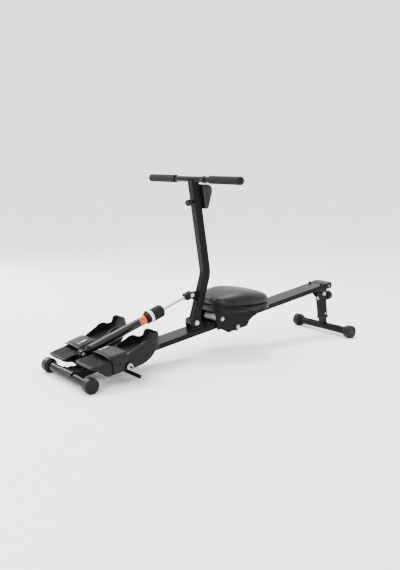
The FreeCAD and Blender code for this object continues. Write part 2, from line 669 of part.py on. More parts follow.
def mast():
    """A square tube with one bend, a round foot and a coped top."""
    path_body = new_body("mast_tube", MAST)
    section = sketch_on(path_body, "XY_Plane", "-mast_half")
    polygon(section, [
        (f"{a} * mast_half - {a} * {p}", f"{b} * mast_half - {b} * {q}") for a, b, p, q in (
            (-1, -1, 2.5, 0), (1, -1, 2.5, 0), (1, -1, 0, 2.5), (1, 1, 0, 2.5),
            (1, 1, 2.5, 0), (-1, 1, 2.5, 0), (-1, 1, 0, 2.5), (-1, -1, 0, 2.5))])
    rectangle(section, "mast_wall - mast_half", "mast_half - mast_wall", "mast_wall - mast_half",
              "mast_half - mast_wall")
    spine = sketch_on(path_body, "XZ_Plane")
    turn = math.radians(size("mast_turn"))
    bend = Vector(0, size("mast_bend"), 0)
    away = Vector(-math.sin(turn), math.cos(turn), 0)
    tangent = size("bend_radius") * math.tan(turn / 2)
    enter = bend - Vector(0, tangent, 0)
    leave = bend + away * tangent
    centre = enter - Vector(size("bend_radius"), 0, 0)
    middle = centre + (bend - centre).normalize() * size("bend_radius")
    spine.addGeometry(Part.LineSegment(Vector(0, -size("mast_half"), 0), enter))
    spine.addGeometry(Part.Arc(enter, middle, leave))
    spine.addGeometry(Part.LineSegment(leave, bend + away * BAR_UP))
    for first in (0, 1):
        spine.addConstraint(Sketcher.Constraint("Coincident", first, 2, first + 1, 1))
    tube = path_body.newObject("PartDesign::AdditivePipe", "mast_pipe")
    tube.Profile = section
    tube.Spine = (spine, [])
    doc.recompute()
    foot = cut(box("foot_block", MAST, (60, 60, 40), (-30, -30, -40)),
               cylinder("foot_round", MAST * shift(y=-30, turn=LATERAL), "mast_half", 60))
    bush = cylinder("foot_bush", MAST * shift(y=-15, turn=LATERAL), 9, 30)
    bore = cylinder("foot_bore", MAST * shift(y=-30, turn=LATERAL), "bolt_radius + running", 60)
    cope = cylinder("top_cope", MAST_TOP * shift(y=-30, z=BAR_UP, turn=LATERAL), "bar_radius", 60)
    keep(cut(cut(cut(fuse([path_body, bush]), foot), bore), cope, "mast"), "mast")


def mast_lug():
    """A plate on the mast's front face with a roomy hole for the fork's bolt."""
    at = MAST.inverse() * (CYLINDER * Vector(reach.Length, 0, 0))
    body = plate("mast_lug", MAST, [
        (at.x - 11.5, at.z - 11.5), (at.x, at.z - 11.5), ("-mast_half", at.z - 20), ("-mast_half", at.z + 20),
        (at.x, at.z + 11.5), (at.x - 11.5, at.z + 11.5)], "2 * mast_lug_half")
    soften(body, "mast_lug_radius - 0.3", lambda edge, spot: spot.x < at.x - 11 and abs(spot.y) < 0.1
           and abs(edge.Length - 12) < 0.01)
    drill(body, at.x, at.z, "mast_lug_hole")
    keep(body, "mast_lug")


# ---------------------------------------------------------------- handlebar
def handlebar():
    keep(pipe_of("handlebar", MAST_TOP * shift(z=BAR_UP, turn=LATERAL), "bar_radius - bar_wall", "bar_radius",
                 "-bar_half", "bar_half"), "handlebar")


def grip(label, side):
    turn = LATERAL if side > 0 else FLIP * LATERAL
    keep(turned(label, MAST_TOP * shift(z=BAR_UP, turn=turn), [
        ("bar_radius", "grip_inner"), ("grip_radius - 2", "grip_inner"), ("grip_radius", "grip_inner + 2"),
        ("grip_radius", "grip_outer - 3"), ("grip_radius - 3", "grip_outer"), ("bar_radius", "grip_outer")]), label)


def bar_plugs():
    ends = []
    for side in (-1, 1):
        turn = LATERAL if side > 0 else FLIP * LATERAL
        ends.append(turned("bar_plug", MAST_TOP * shift(z=BAR_UP, turn=turn), [
            (0, "bar_half - 18"), ("bar_radius - bar_wall", "bar_half - 18"), ("bar_radius - bar_wall", "bar_half"),
            ("bar_radius", "bar_half"), ("bar_radius", "bar_half + 1"), ("bar_radius - 2", "bar_half + 2"),
            (0, "bar_half + 2")]))
    keep(group(ends, "bar_plugs"), "bar_plugs")


def bar_clip():
    """A small clip round the bar beside the mast."""
    spot = MAST_TOP * shift(y=-size("clip_at") - 7, z=BAR_UP)
    ring = cylinder("clip_ring", spot * shift(turn=LATERAL), "bar_radius + 2.2", 14)
    ear = box("clip_ear", spot, (7, 14, 7), (-16, 0, -4))
    hole = cylinder("clip_hole", spot * shift(y=-5, turn=LATERAL), "bar_radius", 30)
    keep(cut(fuse([ring, ear]), hole, "bar_clip"), "bar_clip")


# ---------------------------------------------------------------- console
def console_bracket():
    """A plate on the mast's rear face and the stud of the clamp knob."""
    up = size("knob_up")
    half = size("mast_half")
    pad_plate = box("console_plate", MAST_TOP, (2.5, 30, 74), (half, -15, up - 22))
    keep(pad_plate, "console_bracket")


def console_housing():
    up = size("knob_up")
    body = plate("console_block", MAST_TOP, [
        (18.5, up - 33), (31, up - 34), (62, up + 28), (59, up + 51), (30, up + 61), (18.5, up + 60)],
        "2 * console_half")
    soften(body, 8, lambda edge, at: at.x > 50 and edge.Length > 60)
    soften(body, 4, lambda edge, at: abs(abs(at.y) - 33) < 0.1 and at.x > 20)
    screen = sketch_on(body, "XZ_Plane")
    polygon(screen, [(34.9, up - 23.2), (57.4, up + 21.8), (54.7, up + 23.2), (32.2, up - 21.8)])
    pocket(body, screen, 50)
    slope = pitched(-math.degrees(math.atan2(31, 62)))
    travel = MAST_TOP * shift(33.4, 0, up - 29.2, slope * ALONG) * shift(z=-1.5)
    keep(cut(body, cylinder("button_well", travel, 3.8, 8), "console_housing"), "console_housing")


def console_screen():
    up = size("knob_up")
    body = plate("console_screen", MAST_TOP, [
        (34.5, up - 22.99), (56.99, up + 22.0), (54.7, up + 23.2), (32.2, up - 21.8)], 50)
    keep(body, "console_screen")


def console_button():
    """One round button under the screen."""
    up = size("knob_up")
    slope = pitched(-math.degrees(math.atan2(31, 62)))
    spot = MAST_TOP * shift(33.4, 0, up - 29.2, slope * ALONG)
    keep(cylinder("console_button", spot, 3.5, 3), "console_button")


def console_knob():
    """A fluted clamp knob on the mast's front face."""
    spot = MAST_TOP * shift(-size("mast_half") - 0.3, 0, size("knob_up"), FLIP * ALONG)
    keep(turned("console_knob", spot, [
        (0, 0), (5, 0), (5, 8), ("knob_radius - 3", 9), ("knob_radius", 12), ("knob_radius", 24),
        ("knob_radius - 2.5", 27), (0, 27)]), "console_knob")


# ---------------------------------------------------------------- seat
def seat_outline(low, high, inset):
    """An upright block with the seat's rounded plan."""
    long = size("seat_long") - 2 * inset
    wide = size("seat_wide") - 2 * inset
    block = Part.makeBox(long, wide, high - low, Vector(-long / 2, -wide / 2, low))
    corners = [edge for edge in block.Edges if abs(edge.tangentAt(edge.FirstParameter).z) > 0.9]
    return block.makeFillet(size("seat_corner") - inset, corners)


def seat_pan():
    """The moulded base, hollowed over the rear roller."""
    item = doc.addObject("Part::Feature", "pan_block")
    item.Shape = seat_outline(size("pan_low"), size("pan_top"), size("pan_inset"))
    item.Placement = SEAT
    spot = RAIL * Vector(size("roller_rear_at"), 0, size("roller_up"))
    hollow = cylinder("roller_space", shift(spot.x, -47, spot.z, LATERAL), "roller_radius + 1.3", 94)
    keep(cut(item, hollow, "seat_pan"), "seat_pan")


def seat_cushion():
    item = doc.addObject("Part::Feature", "seat_cushion")
    block = seat_outline(size("pan_top"), size("cushion_top"), 0)
    top = [edge for edge in block.Edges if edge.CenterOfMass.z > size("cushion_top") - 0.1]
    item.Shape = block.makeFillet(size("cushion_round"), top)
    item.Placement = SEAT
    keep(item, "seat_cushion")


def carriage_plate(label, side):
    """A side plate of the carriage, level along the top, with a stepped lower edge."""
    slope = math.radians(size("rail_slope"))
    def up_to_pan(along):
        return (size("pan_low") - size("rail_rise") - along * math.sin(slope)) / math.cos(slope)
    middle = side * (size("plate_inner") + size("plate_outer")) / 2
    body = plate(label, RAIL * shift(y=middle), [
        (612, -24), (629, -24), (663, -49), (760, -49), (775, -31), (793, -22), (820, -16),
        (820, up_to_pan(820)), (612, up_to_pan(612))], "plate_outer - plate_inner")
    soften(body, 5, lambda edge, at: at.z < 0 and abs(edge.Length - 3) < 0.01)
    for along, up in (("roller_front_at", "roller_up"), ("roller_rear_at", "roller_up"),
                      ("roller_low_at", "-roller_low_drop")):
        drill(body, along, up, "roller_pin")
    keep(body, label)


def roller_spots():
    return {
        "front": (size("roller_front_at"), size("roller_up"), "roller_radius"),
        "rear": (size("roller_rear_at"), size("roller_up"), "roller_radius"),
        "lower": (size("roller_low_at"), -size("roller_low_drop"), "roller_low_radius")}


def rollers():
    for name, (along, up, radius) in roller_spots().items():
        spot = RAIL * shift(along, 0, up, LATERAL)
        keep(turned("roller_" + name, spot, [
            ("roller_pin + running", "-roller_half"), (f"{radius} - 1", "-roller_half"),
            (radius, "1 - roller_half"), (radius, "roller_half - 1"), (f"{radius} - 1", "roller_half"),
            ("roller_pin + running", "roller_half")]), "roller_" + name)


def carriage_axles():
    bolts = []
    for along, up, _ in roller_spots().values():
        bolts.append(cross_bolt("carriage_axle", RAIL * shift(along, 0, up), "roller_pin",
                                size("plate_outer"), 6.5, 6.5))
    keep(group(bolts, "carriage_axles"), "carriage_axles")


# ---------------------------------------------------------------- rear stand
def stand_bracket():
    """Two cheeks under the rail's end joined by a web behind the leg."""
    cheeks = []
    for side in (-1, 1):
        middle = side * (size("bracket_gap") + size("bracket_thick") / 2)
        cheek = plate("stand_cheek", RAIL * shift(y=middle), [
            ("stand_front", "-rail_tall"), ("stand_front", -45), ("stand_front + 15", -66),
            ("stand_front + 15", "-stand_low"), ("stand_back", "-stand_low"), ("stand_back", "-rail_tall - 5"),
            ("sleeve_start", "-rail_tall - 5"), ("sleeve_start", "-rail_tall")], "bracket_thick")
        drill(cheek, "fold_at", "-fold_drop", "fold_pin")
        cheeks.append(cheek)
    web = box("stand_web", RAIL, ("bracket_thick", "2 * bracket_gap + 0.2", "stand_low - web_top"),
              (size("stand_back") - 3, -size("bracket_gap") - 0.1, -size("stand_low")))
    hole = cylinder("lock_hole", LEG * shift(10, 0, -size("lock_drop"), ALONG), 4.1, 20)
    keep(cut(fuse(cheeks + [web]), hole, "stand_bracket"), "stand_bracket")


def stand_pivot_bolt():
    half = size("bracket_gap") + size("bracket_thick")
    keep(cross_bolt("stand_pivot_bolt", LEG, "fold_pin", half, 7.5, 6), "stand_pivot_bolt")


def lock_knob():
    """A hand screw in the web, with a broad lobed head."""
    spot = LEG * shift(size("leg_half") + 0.3, 0, -size("lock_drop"), ALONG)
    keep(turned("lock_knob", spot, [
        (0, 0), (4, 0), (4, 6), (10, 7), (10, 11), ("lock_radius - 2", 13), ("lock_radius", 16),
        ("lock_radius", 34), ("lock_radius - 4", 39), (0, 41)]), "lock_knob")


def leg_sleeve():
    """The square outer leg, rounded over its pivot and holed for the height pin."""
    half = size("leg_half")
    outer = box("sleeve_outer", LEG, ("2 * leg_half", "2 * leg_half", "leg_long"), (-half, -half, -size("leg_long")))
    crown = cylinder("sleeve_crown", LEG * shift(y=-half, turn=LATERAL), "leg_half", "2 * leg_half")
    wall = size("leg_wall")
    bore = box("sleeve_bore", LEG, ("2 * (leg_half - leg_wall)", "2 * (leg_half - leg_wall)", "leg_long - 26"),
               (wall - half, wall - half, -size("leg_long") - 1))
    pivot = cylinder("sleeve_pivot", LEG * shift(y=-30, turn=LATERAL), "fold_pin + running", 60)
    pin = cylinder("sleeve_pin", LEG * shift(y=-30, z=-size("pin_drop"), turn=LATERAL), "height_pin + running", 60)
    keep(cut(cut(cut(fuse([outer, crown]), bore), pivot), pin, "leg_sleeve"), "leg_sleeve")


def leg_front_bolt():
    """The bright end of the screw on the leg's front face."""
    spot = LEG * shift(-size("leg_half"), 0, -size("lock_drop") + 2, FLIP * ALONG)
    keep(turned("leg_front_bolt", spot, [(0, 0), (6.5, 0), (6.5, 3), (4, 3.5), (4, 8), (3, 9), (0, 9)]),
         "leg_front_bolt")


def sleeve_bush():
    """The plastic collar that guides the inner leg."""
    low = -size("leg_long") - size("bush_long")
    half = size("leg_half") + 2
    inner = size("inner_half") + 0.1
    outside = box("bush_outside", LEG, ("2 * leg_half + 4", "2 * leg_half + 4", "bush_long"), (-half, -half, low))
    inside = box("bush_inside", LEG, ("2 * inner_half + 0.2", "2 * inner_half + 0.2", 30), (-inner, -inner, low - 5))
    keep(cut(outside, inside, "sleeve_bush"), "sleeve_bush")


def leg_inner():
    """The sliding inner leg with its adjusting slot, coped to the floor tube."""
    half = size("inner_half")
    wall = size("inner_wall")
    long = size("foot_drop") - size("inner_top")
    outer = box("inner_outer", LEG, ("2 * inner_half", "2 * inner_half", long), (-half, -half, -size("foot_drop")))
    bore = box("inner_bore", LEG, ("2 * (inner_half - inner_wall)", "2 * (inner_half - inner_wall)", long + 9),
               (wall - half, wall - half, -size("foot_drop") - 4))
    radius = size("height_pin") + 0.3
    slot = box("inner_slot", LEG, (2 * radius, 60, "adjust"), (-radius, -30, -size("pin_drop")))
    ends = [cylinder("slot_end", LEG * shift(y=-30, z=up, turn=LATERAL), radius, 60)
            for up in (-size("pin_drop"), size("adjust") - size("pin_drop"))]
    tube = cylinder("inner_cope", REAR * shift(y=-30, turn=LATERAL), "tube_radius", 60)
    keep(cut(cut(cut(outer, bore), fuse([slot] + ends)), tube, "leg_inner"), "leg_inner")


def height_pin():
    """The pull pin through the leg, with a wire ring on its far end."""
    spot = LEG * shift(z=-size("pin_drop"))
    rod = turned("height_rod", spot * shift(turn=LATERAL), [
        (0, -23), (2, -23), ("height_pin", -21), ("height_pin", 16.3), (7, 16.3), (7, 21), (4, 23), (0, 23)])
    ring = doc.addObject("Part::Torus", "pin_ring")
    ring.Radius1 = 10
    ring.Radius2 = 1.2
    ring.Placement = spot * shift(0, 20.8, -9.5, LATERAL)
    keep(fuse([rod, ring], "height_pin"), "height_pin")


# ---------------------------------------------------------------- assembly
main_rail()
rail_end_cap()
rail_stops()
front_saddle()
floor_tube("front_floor_tube", FRONT)
floor_tube("rear_floor_tube", REAR)
for end, place in (("front", FRONT), ("rear", REAR)):
    end_cap(end + "_end_cap_left", place, -1)
    end_cap(end + "_end_cap_right", place, 1)
pedal_axle()
pedal_axle_nuts()
pedal_stop_rod()
for name, side in (("left", -1), ("right", 1)):
    pedal("pedal_" + name, side, "pedal_tilt_" + name)
    pedal_strap("pedal_strap_" + name, side, "pedal_tilt_" + name)
cylinder_lug()
cylinder_lug_bolt()
cylinder_eye()
cylinder_barrel()
cylinder_label()
neck_collar()
scale_ring()
resistance_dial()
piston_rod()
rod_yoke()
yoke_bolt()
mast_bracket()
bracket_bridge()
mast_pivot_bolt()
mast()
mast_lug()
handlebar()
grip("grip_left", -1)
grip("grip_right", 1)
bar_plugs()
bar_clip()
console_bracket()
console_housing()
console_screen()
console_button()
console_knob()
seat_pan()
seat_cushion()
carriage_plate("carriage_plate_left", -1)
carriage_plate("carriage_plate_right", 1)
rollers()
carriage_axles()
stand_bracket()
stand_pivot_bolt()
lock_knob()
leg_sleeve()
leg_front_bolt()
sleeve_bush()
leg_inner()
height_pin()
doc.recompute()

failed = [item.Label for item in doc.Objects if "Invalid" in item.State or "Error" in item.State]
if failed:
    raise RuntimeError("failed: " + ", ".join(failed))
for item in nodes:
    if item.Shape.isNull() or not item.Shape.isValid():
        raise RuntimeError("bad shape: " + item.Label)

os.makedirs("parts", exist_ok=True)
for item in nodes:
    item.Shape.exportStep("parts/" + item.Label + ".step")
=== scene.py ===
import json
import math
import bmesh
import bpy
from mathutils import Matrix, Vector, noise


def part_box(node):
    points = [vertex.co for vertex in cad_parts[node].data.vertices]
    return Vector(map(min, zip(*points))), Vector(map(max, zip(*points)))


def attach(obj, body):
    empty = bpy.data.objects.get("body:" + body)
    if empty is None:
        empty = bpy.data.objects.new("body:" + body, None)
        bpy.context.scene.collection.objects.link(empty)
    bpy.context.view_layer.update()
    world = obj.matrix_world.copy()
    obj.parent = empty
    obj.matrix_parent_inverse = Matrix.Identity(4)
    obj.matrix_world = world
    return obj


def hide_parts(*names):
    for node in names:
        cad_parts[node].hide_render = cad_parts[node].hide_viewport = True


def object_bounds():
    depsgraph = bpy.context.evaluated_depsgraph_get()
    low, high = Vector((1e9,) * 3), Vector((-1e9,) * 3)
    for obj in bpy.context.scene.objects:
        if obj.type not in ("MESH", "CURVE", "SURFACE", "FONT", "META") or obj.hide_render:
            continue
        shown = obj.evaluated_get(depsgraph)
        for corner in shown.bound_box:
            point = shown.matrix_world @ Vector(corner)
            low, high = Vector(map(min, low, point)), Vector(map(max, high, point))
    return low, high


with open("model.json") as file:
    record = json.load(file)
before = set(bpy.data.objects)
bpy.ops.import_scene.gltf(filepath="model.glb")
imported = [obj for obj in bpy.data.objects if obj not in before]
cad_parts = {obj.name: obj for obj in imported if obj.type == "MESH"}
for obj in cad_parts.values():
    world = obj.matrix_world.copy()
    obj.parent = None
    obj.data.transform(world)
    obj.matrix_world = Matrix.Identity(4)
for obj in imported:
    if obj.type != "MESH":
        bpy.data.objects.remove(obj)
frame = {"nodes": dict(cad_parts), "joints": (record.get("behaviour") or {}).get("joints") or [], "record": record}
cad_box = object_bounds()

# A folding rowing machine. +X runs from the footrests to the seat, -Y is the
# side nearer the camera, +Z is up; metres.

MM = 0.001
PEDAL_TILT = {"left": 8.0, "right": 15.0}
PEDAL_SIDE = {"left": -1, "right": 1}
COVER_POINTS = 96
TRIM_POINTS = 160
STITCHES = 150
STRAP_COLUMNS = 14
STRAP_INNER, STRAP_OUTER, STRAP_TOP, STRAP_CORNER, STRAP_FOOT = 56, 58, 57, 18, -6
MAST_FACE = 0.0163
CONSOLE_LEAN = math.atan2(31, 62)
LABEL_SKIN = (0.01662, 0.01675)
joints = {joint["name"]: joint for joint in frame["joints"]}


# ------------------------------------------------------------------ helpers
def mix(a, b, share):
    return a + (b - a) * share


def smooth(low, high, value):
    share = min(max((value - low) / (high - low), 0.0), 1.0)
    return share * share * (3 - 2 * share)


def mesh_piece(name, verts, faces, body, material, slot, soft=True):
    """A mesh object in the row frame that rides on a body."""
    mesh = bpy.data.meshes.new(name)
    mesh.from_pydata([tuple(v) for v in verts], [], faces)
    mesh.update()
    work = bmesh.new()
    work.from_mesh(mesh)
    bmesh.ops.recalc_face_normals(work, faces=work.faces)
    work.to_mesh(mesh)
    work.free()
    for polygon in mesh.polygons:
        polygon.use_smooth = soft
    piece = bpy.data.objects.new(name, mesh)
    bpy.context.scene.collection.objects.link(piece)
    piece.data.materials.append(material)
    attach(piece, body)
    return piece


def stitched(rows, steps):
    """Quads between rings of equal length, each closed round."""
    faces = []
    for row in range(rows - 1):
        for i in range(steps):
            k = (i + 1) % steps
            faces.append((row * steps + i, row * steps + k, (row + 1) * steps + k, (row + 1) * steps + i))
    return faces


def capped(rows, steps):
    """Rings stitched together, with the first and the last filled."""
    last = (rows - 1) * steps
    return stitched(rows, steps) + [tuple(range(steps)), tuple(last + i for i in reversed(range(steps)))]


def lathe(profile, place, steps=48):
    """Rings of (radius, height) about the place's Z axis; a profile that ends where it starts has no caps."""
    verts = []
    for radius, height in profile:
        for i in range(steps):
            turn = 2 * math.pi * i / steps
            verts.append(place @ Vector((radius * math.cos(turn), radius * math.sin(turn), height)))
    if profile[0] == profile[-1]:
        return verts, stitched(len(profile), steps)
    return verts, capped(len(profile), steps)


def tube_along(points, radius, closed=False, sides=10):
    """A round tube through points, with rings square to the path."""
    verts = []
    faces = []
    count = len(points)
    up = Vector((0, 0, 1))
    for i, point in enumerate(points):
        before = points[(i - 1) % count] if closed or i else point
        after = points[(i + 1) % count] if closed or i < count - 1 else point
        along = (after - before).normalized()
        across = along.cross(up if abs(along.z) < 0.9 else Vector((1, 0, 0))).normalized()
        lift = across.cross(along)
        for j in range(sides):
            turn = 2 * math.pi * j / sides
            verts.append(point + (across * math.cos(turn) + lift * math.sin(turn)) * radius)
    for i in range(count if closed else count - 1):
        k = (i + 1) % count
        for j in range(sides):
            n = (j + 1) % sides
            faces.append((i * sides + j, i * sides + n, k * sides + n, k * sides + j))
    if not closed:
        faces.append(tuple(range(sides)))
        faces.append(tuple((count - 1) * sides + j for j in reversed(range(sides))))
    return verts, faces


def joined(parts):
    """Several (verts, faces) as one."""
    verts = []
    faces = []
    for some, loops in parts:
        base = len(verts)
        verts.extend(some)
        faces.extend(tuple(i + base for i in loop) for loop in loops)
    return verts, faces


def place_at(origin, x_axis, z_axis):
    """A matrix with the given X and Z axes and Y square to both."""
    x = Vector(x_axis).normalized()
    z = Vector(z_axis).normalized()
    y = z.cross(x)
    turn = Matrix((x, y, z)).transposed().to_4x4()
    return Matrix.Translation(origin) @ turn


def block(place, low, high, edge=0.0):
    """A box with chamfered edges, in a local frame."""
    work = bmesh.new()
    bmesh.ops.create_cube(work, size=1)
    middle = (Vector(low) + Vector(high)) / 2
    span = Vector(high) - Vector(low)
    for vert in work.verts:
        vert.co = Vector(a * b for a, b in zip(vert.co, span)) + middle
    if edge:
        bmesh.ops.bevel(work, geom=work.edges[:], offset=edge, segments=2, affect="EDGES", profile=0.5)
    work.verts.index_update()
    verts = [place @ vert.co for vert in work.verts]
    faces = [tuple(vert.index for vert in face.verts) for face in work.faces]
    work.free()
    return verts, faces


# ------------------------------------------------------------------ materials
class Surface:
    """A node material with a Principled shader and short calls for its textures."""

    def __init__(self, name, colour, rough, metal=0.0, specular=0.5, coat=0.0, coat_rough=0.1):
        self.material = bpy.data.materials.new(name)
        self.material.use_nodes = True
        self.nodes = self.material.node_tree.nodes
        self.links = self.material.node_tree.links
        self.shader = self.nodes["Principled BSDF"]
        self.shader.inputs["Base Color"].default_value = (*colour, 1)
        self.shader.inputs["Roughness"].default_value = rough
        self.shader.inputs["Metallic"].default_value = metal
        self.shader.inputs["Specular IOR Level"].default_value = specular
        self.shader.inputs["Coat Weight"].default_value = coat
        self.shader.inputs["Coat Roughness"].default_value = coat_rough
        self.place = self.nodes.new("ShaderNodeTexCoord")
        self.height = None

    def stretched(self, scale):
        node = self.nodes.new("ShaderNodeMapping")
        node.inputs["Scale"].default_value = scale
        self.links.new(self.place.outputs["Object"], node.inputs["Vector"])
        return node.outputs["Vector"]

    def noise(self, scale, detail=3.0, rough=0.5, vector=None):
        node = self.nodes.new("ShaderNodeTexNoise")
        node.inputs["Scale"].default_value = scale
        node.inputs["Detail"].default_value = detail
        node.inputs["Roughness"].default_value = rough
        self.links.new(vector or self.place.outputs["Object"], node.inputs["Vector"])
        return node.outputs["Fac"]

    def cells(self, scale, feature="F1", vector=None):
        node = self.nodes.new("ShaderNodeTexVoronoi")
        node.feature = feature
        node.inputs["Scale"].default_value = scale
        self.links.new(vector or self.place.outputs["Object"], node.inputs["Vector"])
        return node.outputs["Distance"]

    def ramp(self, source, low, high, from_value=0.0, to_value=1.0):
        node = self.nodes.new("ShaderNodeMapRange")
        node.inputs["From Min"].default_value = low
        node.inputs["From Max"].default_value = high
        node.inputs["To Min"].default_value = from_value
        node.inputs["To Max"].default_value = to_value
        self.links.new(source, node.inputs["Value"])
        return node.outputs["Result"]

    def roughness(self, source, low, high):
        self.links.new(self.ramp(source, 0.3, 0.7, low, high), self.shader.inputs["Roughness"])

    def colours(self, source, first, second, low=0.35, high=0.65):
        node = self.nodes.new("ShaderNodeMix")
        node.data_type = "RGBA"
        node.inputs[6].default_value = (*first, 1)
        node.inputs[7].default_value = (*second, 1)
        self.links.new(self.ramp(source, low, high), node.inputs[0])
        self.links.new(node.outputs[2], self.shader.inputs["Base Color"])

    def bump(self, source, distance, strength=1.0):
        node = self.nodes.new("ShaderNodeBump")
        node.inputs["Distance"].default_value = distance
        node.inputs["Strength"].default_value = strength
        self.links.new(source, node.inputs["Height"])
        if self.height:
            self.links.new(self.height, node.inputs["Normal"])
        self.height = node.outputs["Normal"]
        self.links.new(self.height, self.shader.inputs["Normal"])


def powder_coat():
    """Gloss black powder coat: orange peel, faint dust and rubbed patches."""
    s = Surface("powder_coat", (0.004, 0.0038, 0.0032), 0.22, specular=0.07)
    s.roughness(s.noise(14, 5, 0.6), 0.20, 0.33)
    s.colours(s.noise(60, 4, 0.7), (0.0028, 0.0025, 0.0019), (0.0056, 0.0051, 0.0041))
    s.bump(s.noise(900, 2), 0.00004, 0.35)
    return s.material


def lacquer():
    """Wet-looking black lacquer of the cylinder and the console's shell."""
    s = Surface("lacquer", (0.004, 0.0042, 0.0048), 0.14, specular=0.28)
    s.roughness(s.noise(20, 4), 0.10, 0.19)
    s.colours(s.noise(90, 3), (0.0030, 0.0032, 0.0038), (0.0058, 0.0060, 0.0066))
    s.bump(s.noise(700, 2), 0.00001, 0.3)
    return s.material


def moulded_plastic():
    """Black moulded plastic with a fine spark-eroded grain."""
    s = Surface("moulded_plastic", (0.004, 0.004, 0.0039), 0.36, specular=0.12)
    s.roughness(s.noise(25, 5, 0.6), 0.32, 0.46)
    s.colours(s.noise(80, 4, 0.7), (0.0032, 0.0032, 0.0031), (0.0068, 0.0068, 0.0066))
    s.bump(s.noise(1600, 2, 0.7), 0.00006, 0.5)
    return s.material


def strap_rubber():
    s = Surface("strap_rubber", (0.005, 0.005, 0.005), 0.42, specular=0.15)
    s.roughness(s.noise(18, 4), 0.36, 0.52)
    s.colours(s.noise(120, 4, 0.7), (0.004, 0.004, 0.004), (0.008, 0.008, 0.0083))
    s.bump(s.cells(900), 0.00005, 0.5)
    return s.material


def foam():
    """Closed-cell foam: tiny pits over a matt black."""
    s = Surface("foam", (0.005, 0.005, 0.005), 0.75, specular=0.12)
    s.colours(s.noise(700, 3, 0.8), (0.003, 0.003, 0.003), (0.009, 0.009, 0.009))
    s.bump(s.cells(1300), 0.00018, 0.8)
    s.bump(s.noise(90, 3), 0.0004, 0.3)
    return s.material


def leatherette():
    """Black vinyl: pebbled grain, soft creases and slightly uneven sheen."""
    s = Surface("leatherette", (0.004, 0.0043, 0.0047), 0.38, specular=0.16)
    s.shader.inputs["Sheen Weight"].default_value = 0.02
    s.roughness(s.noise(12, 5, 0.6), 0.34, 0.47)
    s.colours(s.noise(40, 5, 0.7), (0.0032, 0.0034, 0.0037), (0.0062, 0.0066, 0.0071))
    s.bump(s.cells(620, "DISTANCE_TO_EDGE"), 0.00022, 0.45)
    s.bump(s.noise(26, 4, 0.6), 0.0012, 0.25)
    return s.material


def rubber():
    s = Surface("rubber", (0.006, 0.006, 0.006), 0.55, specular=0.12)
    s.roughness(s.noise(40, 4), 0.52, 0.7)
    s.bump(s.noise(1200, 2), 0.00006, 0.5)
    return s.material


def zinc_steel():
    """Bright zinc plate with fine turning marks."""
    s = Surface("zinc_steel", (0.42, 0.42, 0.43), 0.26, metal=1.0)
    s.roughness(s.noise(160, 4, 0.7), 0.16, 0.34)
    s.colours(s.noise(70, 4, 0.6), (0.34, 0.34, 0.35), (0.52, 0.52, 0.51))
    s.bump(s.noise(1500, 2), 0.00003, 0.4)
    return s.material


def polished_rod():
    """Ground and plated rod: fine rings along its length and a film of oil."""
    s = Surface("polished_rod", (0.34, 0.345, 0.36), 0.26, metal=1.0)
    s.roughness(s.noise(60, 4), 0.20, 0.34)
    s.bump(s.noise(1100, 2, vector=s.stretched((4, 0.3, 0.3))), 0.00002, 0.4)
    return s.material


def orange_band():
    """Plain orange-red film with lighter bars and a satin varnish."""
    s = Surface("orange_band", (0.50, 0.022, 0.003), 0.34, specular=0.3)
    s.colours(s.noise(30, 5, 0.6), (0.44, 0.017, 0.002), (0.58, 0.032, 0.005))
    s.bump(s.noise(900, 2), 0.00002, 0.4)
    return s.material


def white_ring():
    s = Surface("white_ring", (0.80, 0.80, 0.79), 0.35)
    s.colours(s.noise(50, 5, 0.6), (0.70, 0.70, 0.69), (0.86, 0.86, 0.85))
    s.bump(s.noise(900, 2), 0.00003, 0.4)
    return s.material


def nylon():
    """Off-white turned nylon with faint scuffs round the tread."""
    s = Surface("nylon", (0.16, 0.16, 0.16), 0.42)
    s.shader.inputs["Subsurface Weight"].default_value = 0.05
    s.colours(s.noise(30, 5, 0.6), (0.10, 0.10, 0.10), (0.22, 0.22, 0.217))
    s.roughness(s.noise(90, 4), 0.35, 0.55)
    s.bump(s.noise(900, 2, vector=s.stretched((1, 0.08, 1))), 0.00006, 0.5)
    return s.material


def display():
    s = Surface("display", (0.07, 0.08, 0.072), 0.22, specular=0.3)
    s.colours(s.noise(8, 2), (0.06, 0.072, 0.064), (0.085, 0.096, 0.088))
    s.bump(s.noise(500, 2), 0.00001, 0.3)
    return s.material


def grey_button():
    s = Surface("grey_button", (0.17, 0.17, 0.175), 0.5)
    s.colours(s.noise(300, 3), (0.15, 0.15, 0.155), (0.20, 0.20, 0.205))
    s.bump(s.noise(1200, 2), 0.00004, 0.4)
    return s.material


def pale_print():
    s = Surface("pale_print", (0.75, 0.28, 0.20), 0.4, specular=0.3)
    s.colours(s.noise(80, 4), (0.66, 0.22, 0.16), (0.80, 0.34, 0.26))
    return s.material


def ink():
    s = Surface("ink", (0.02, 0.02, 0.02), 0.5)
    s.roughness(s.noise(200, 3), 0.42, 0.6)
    return s.material


def weld_metal():
    s = Surface("weld_metal", (0.013, 0.0125, 0.011), 0.26, coat=0.3)
    s.roughness(s.noise(120, 3), 0.2, 0.36)
    s.bump(s.noise(420, 3, 0.6), 0.0004, 0.6)
    return s.material


look = {
    "painted_black": powder_coat(), "inner_black": powder_coat(), "black_plastic": moulded_plastic(),
    "strap_black": strap_rubber(), "foam_black": foam(), "leather_black": leatherette(),
    "rubber_black": rubber(), "bright_steel": zinc_steel(), "rod_chrome": polished_rod(),
    "label_orange": orange_band(), "scale_white": white_ring(), "roller_grey": nylon(),
    "screen_grey": display(), "button_grey": grey_button()}
LACQUER = lacquer()
PALE = pale_print()
INK = ink()
WELD = weld_metal()


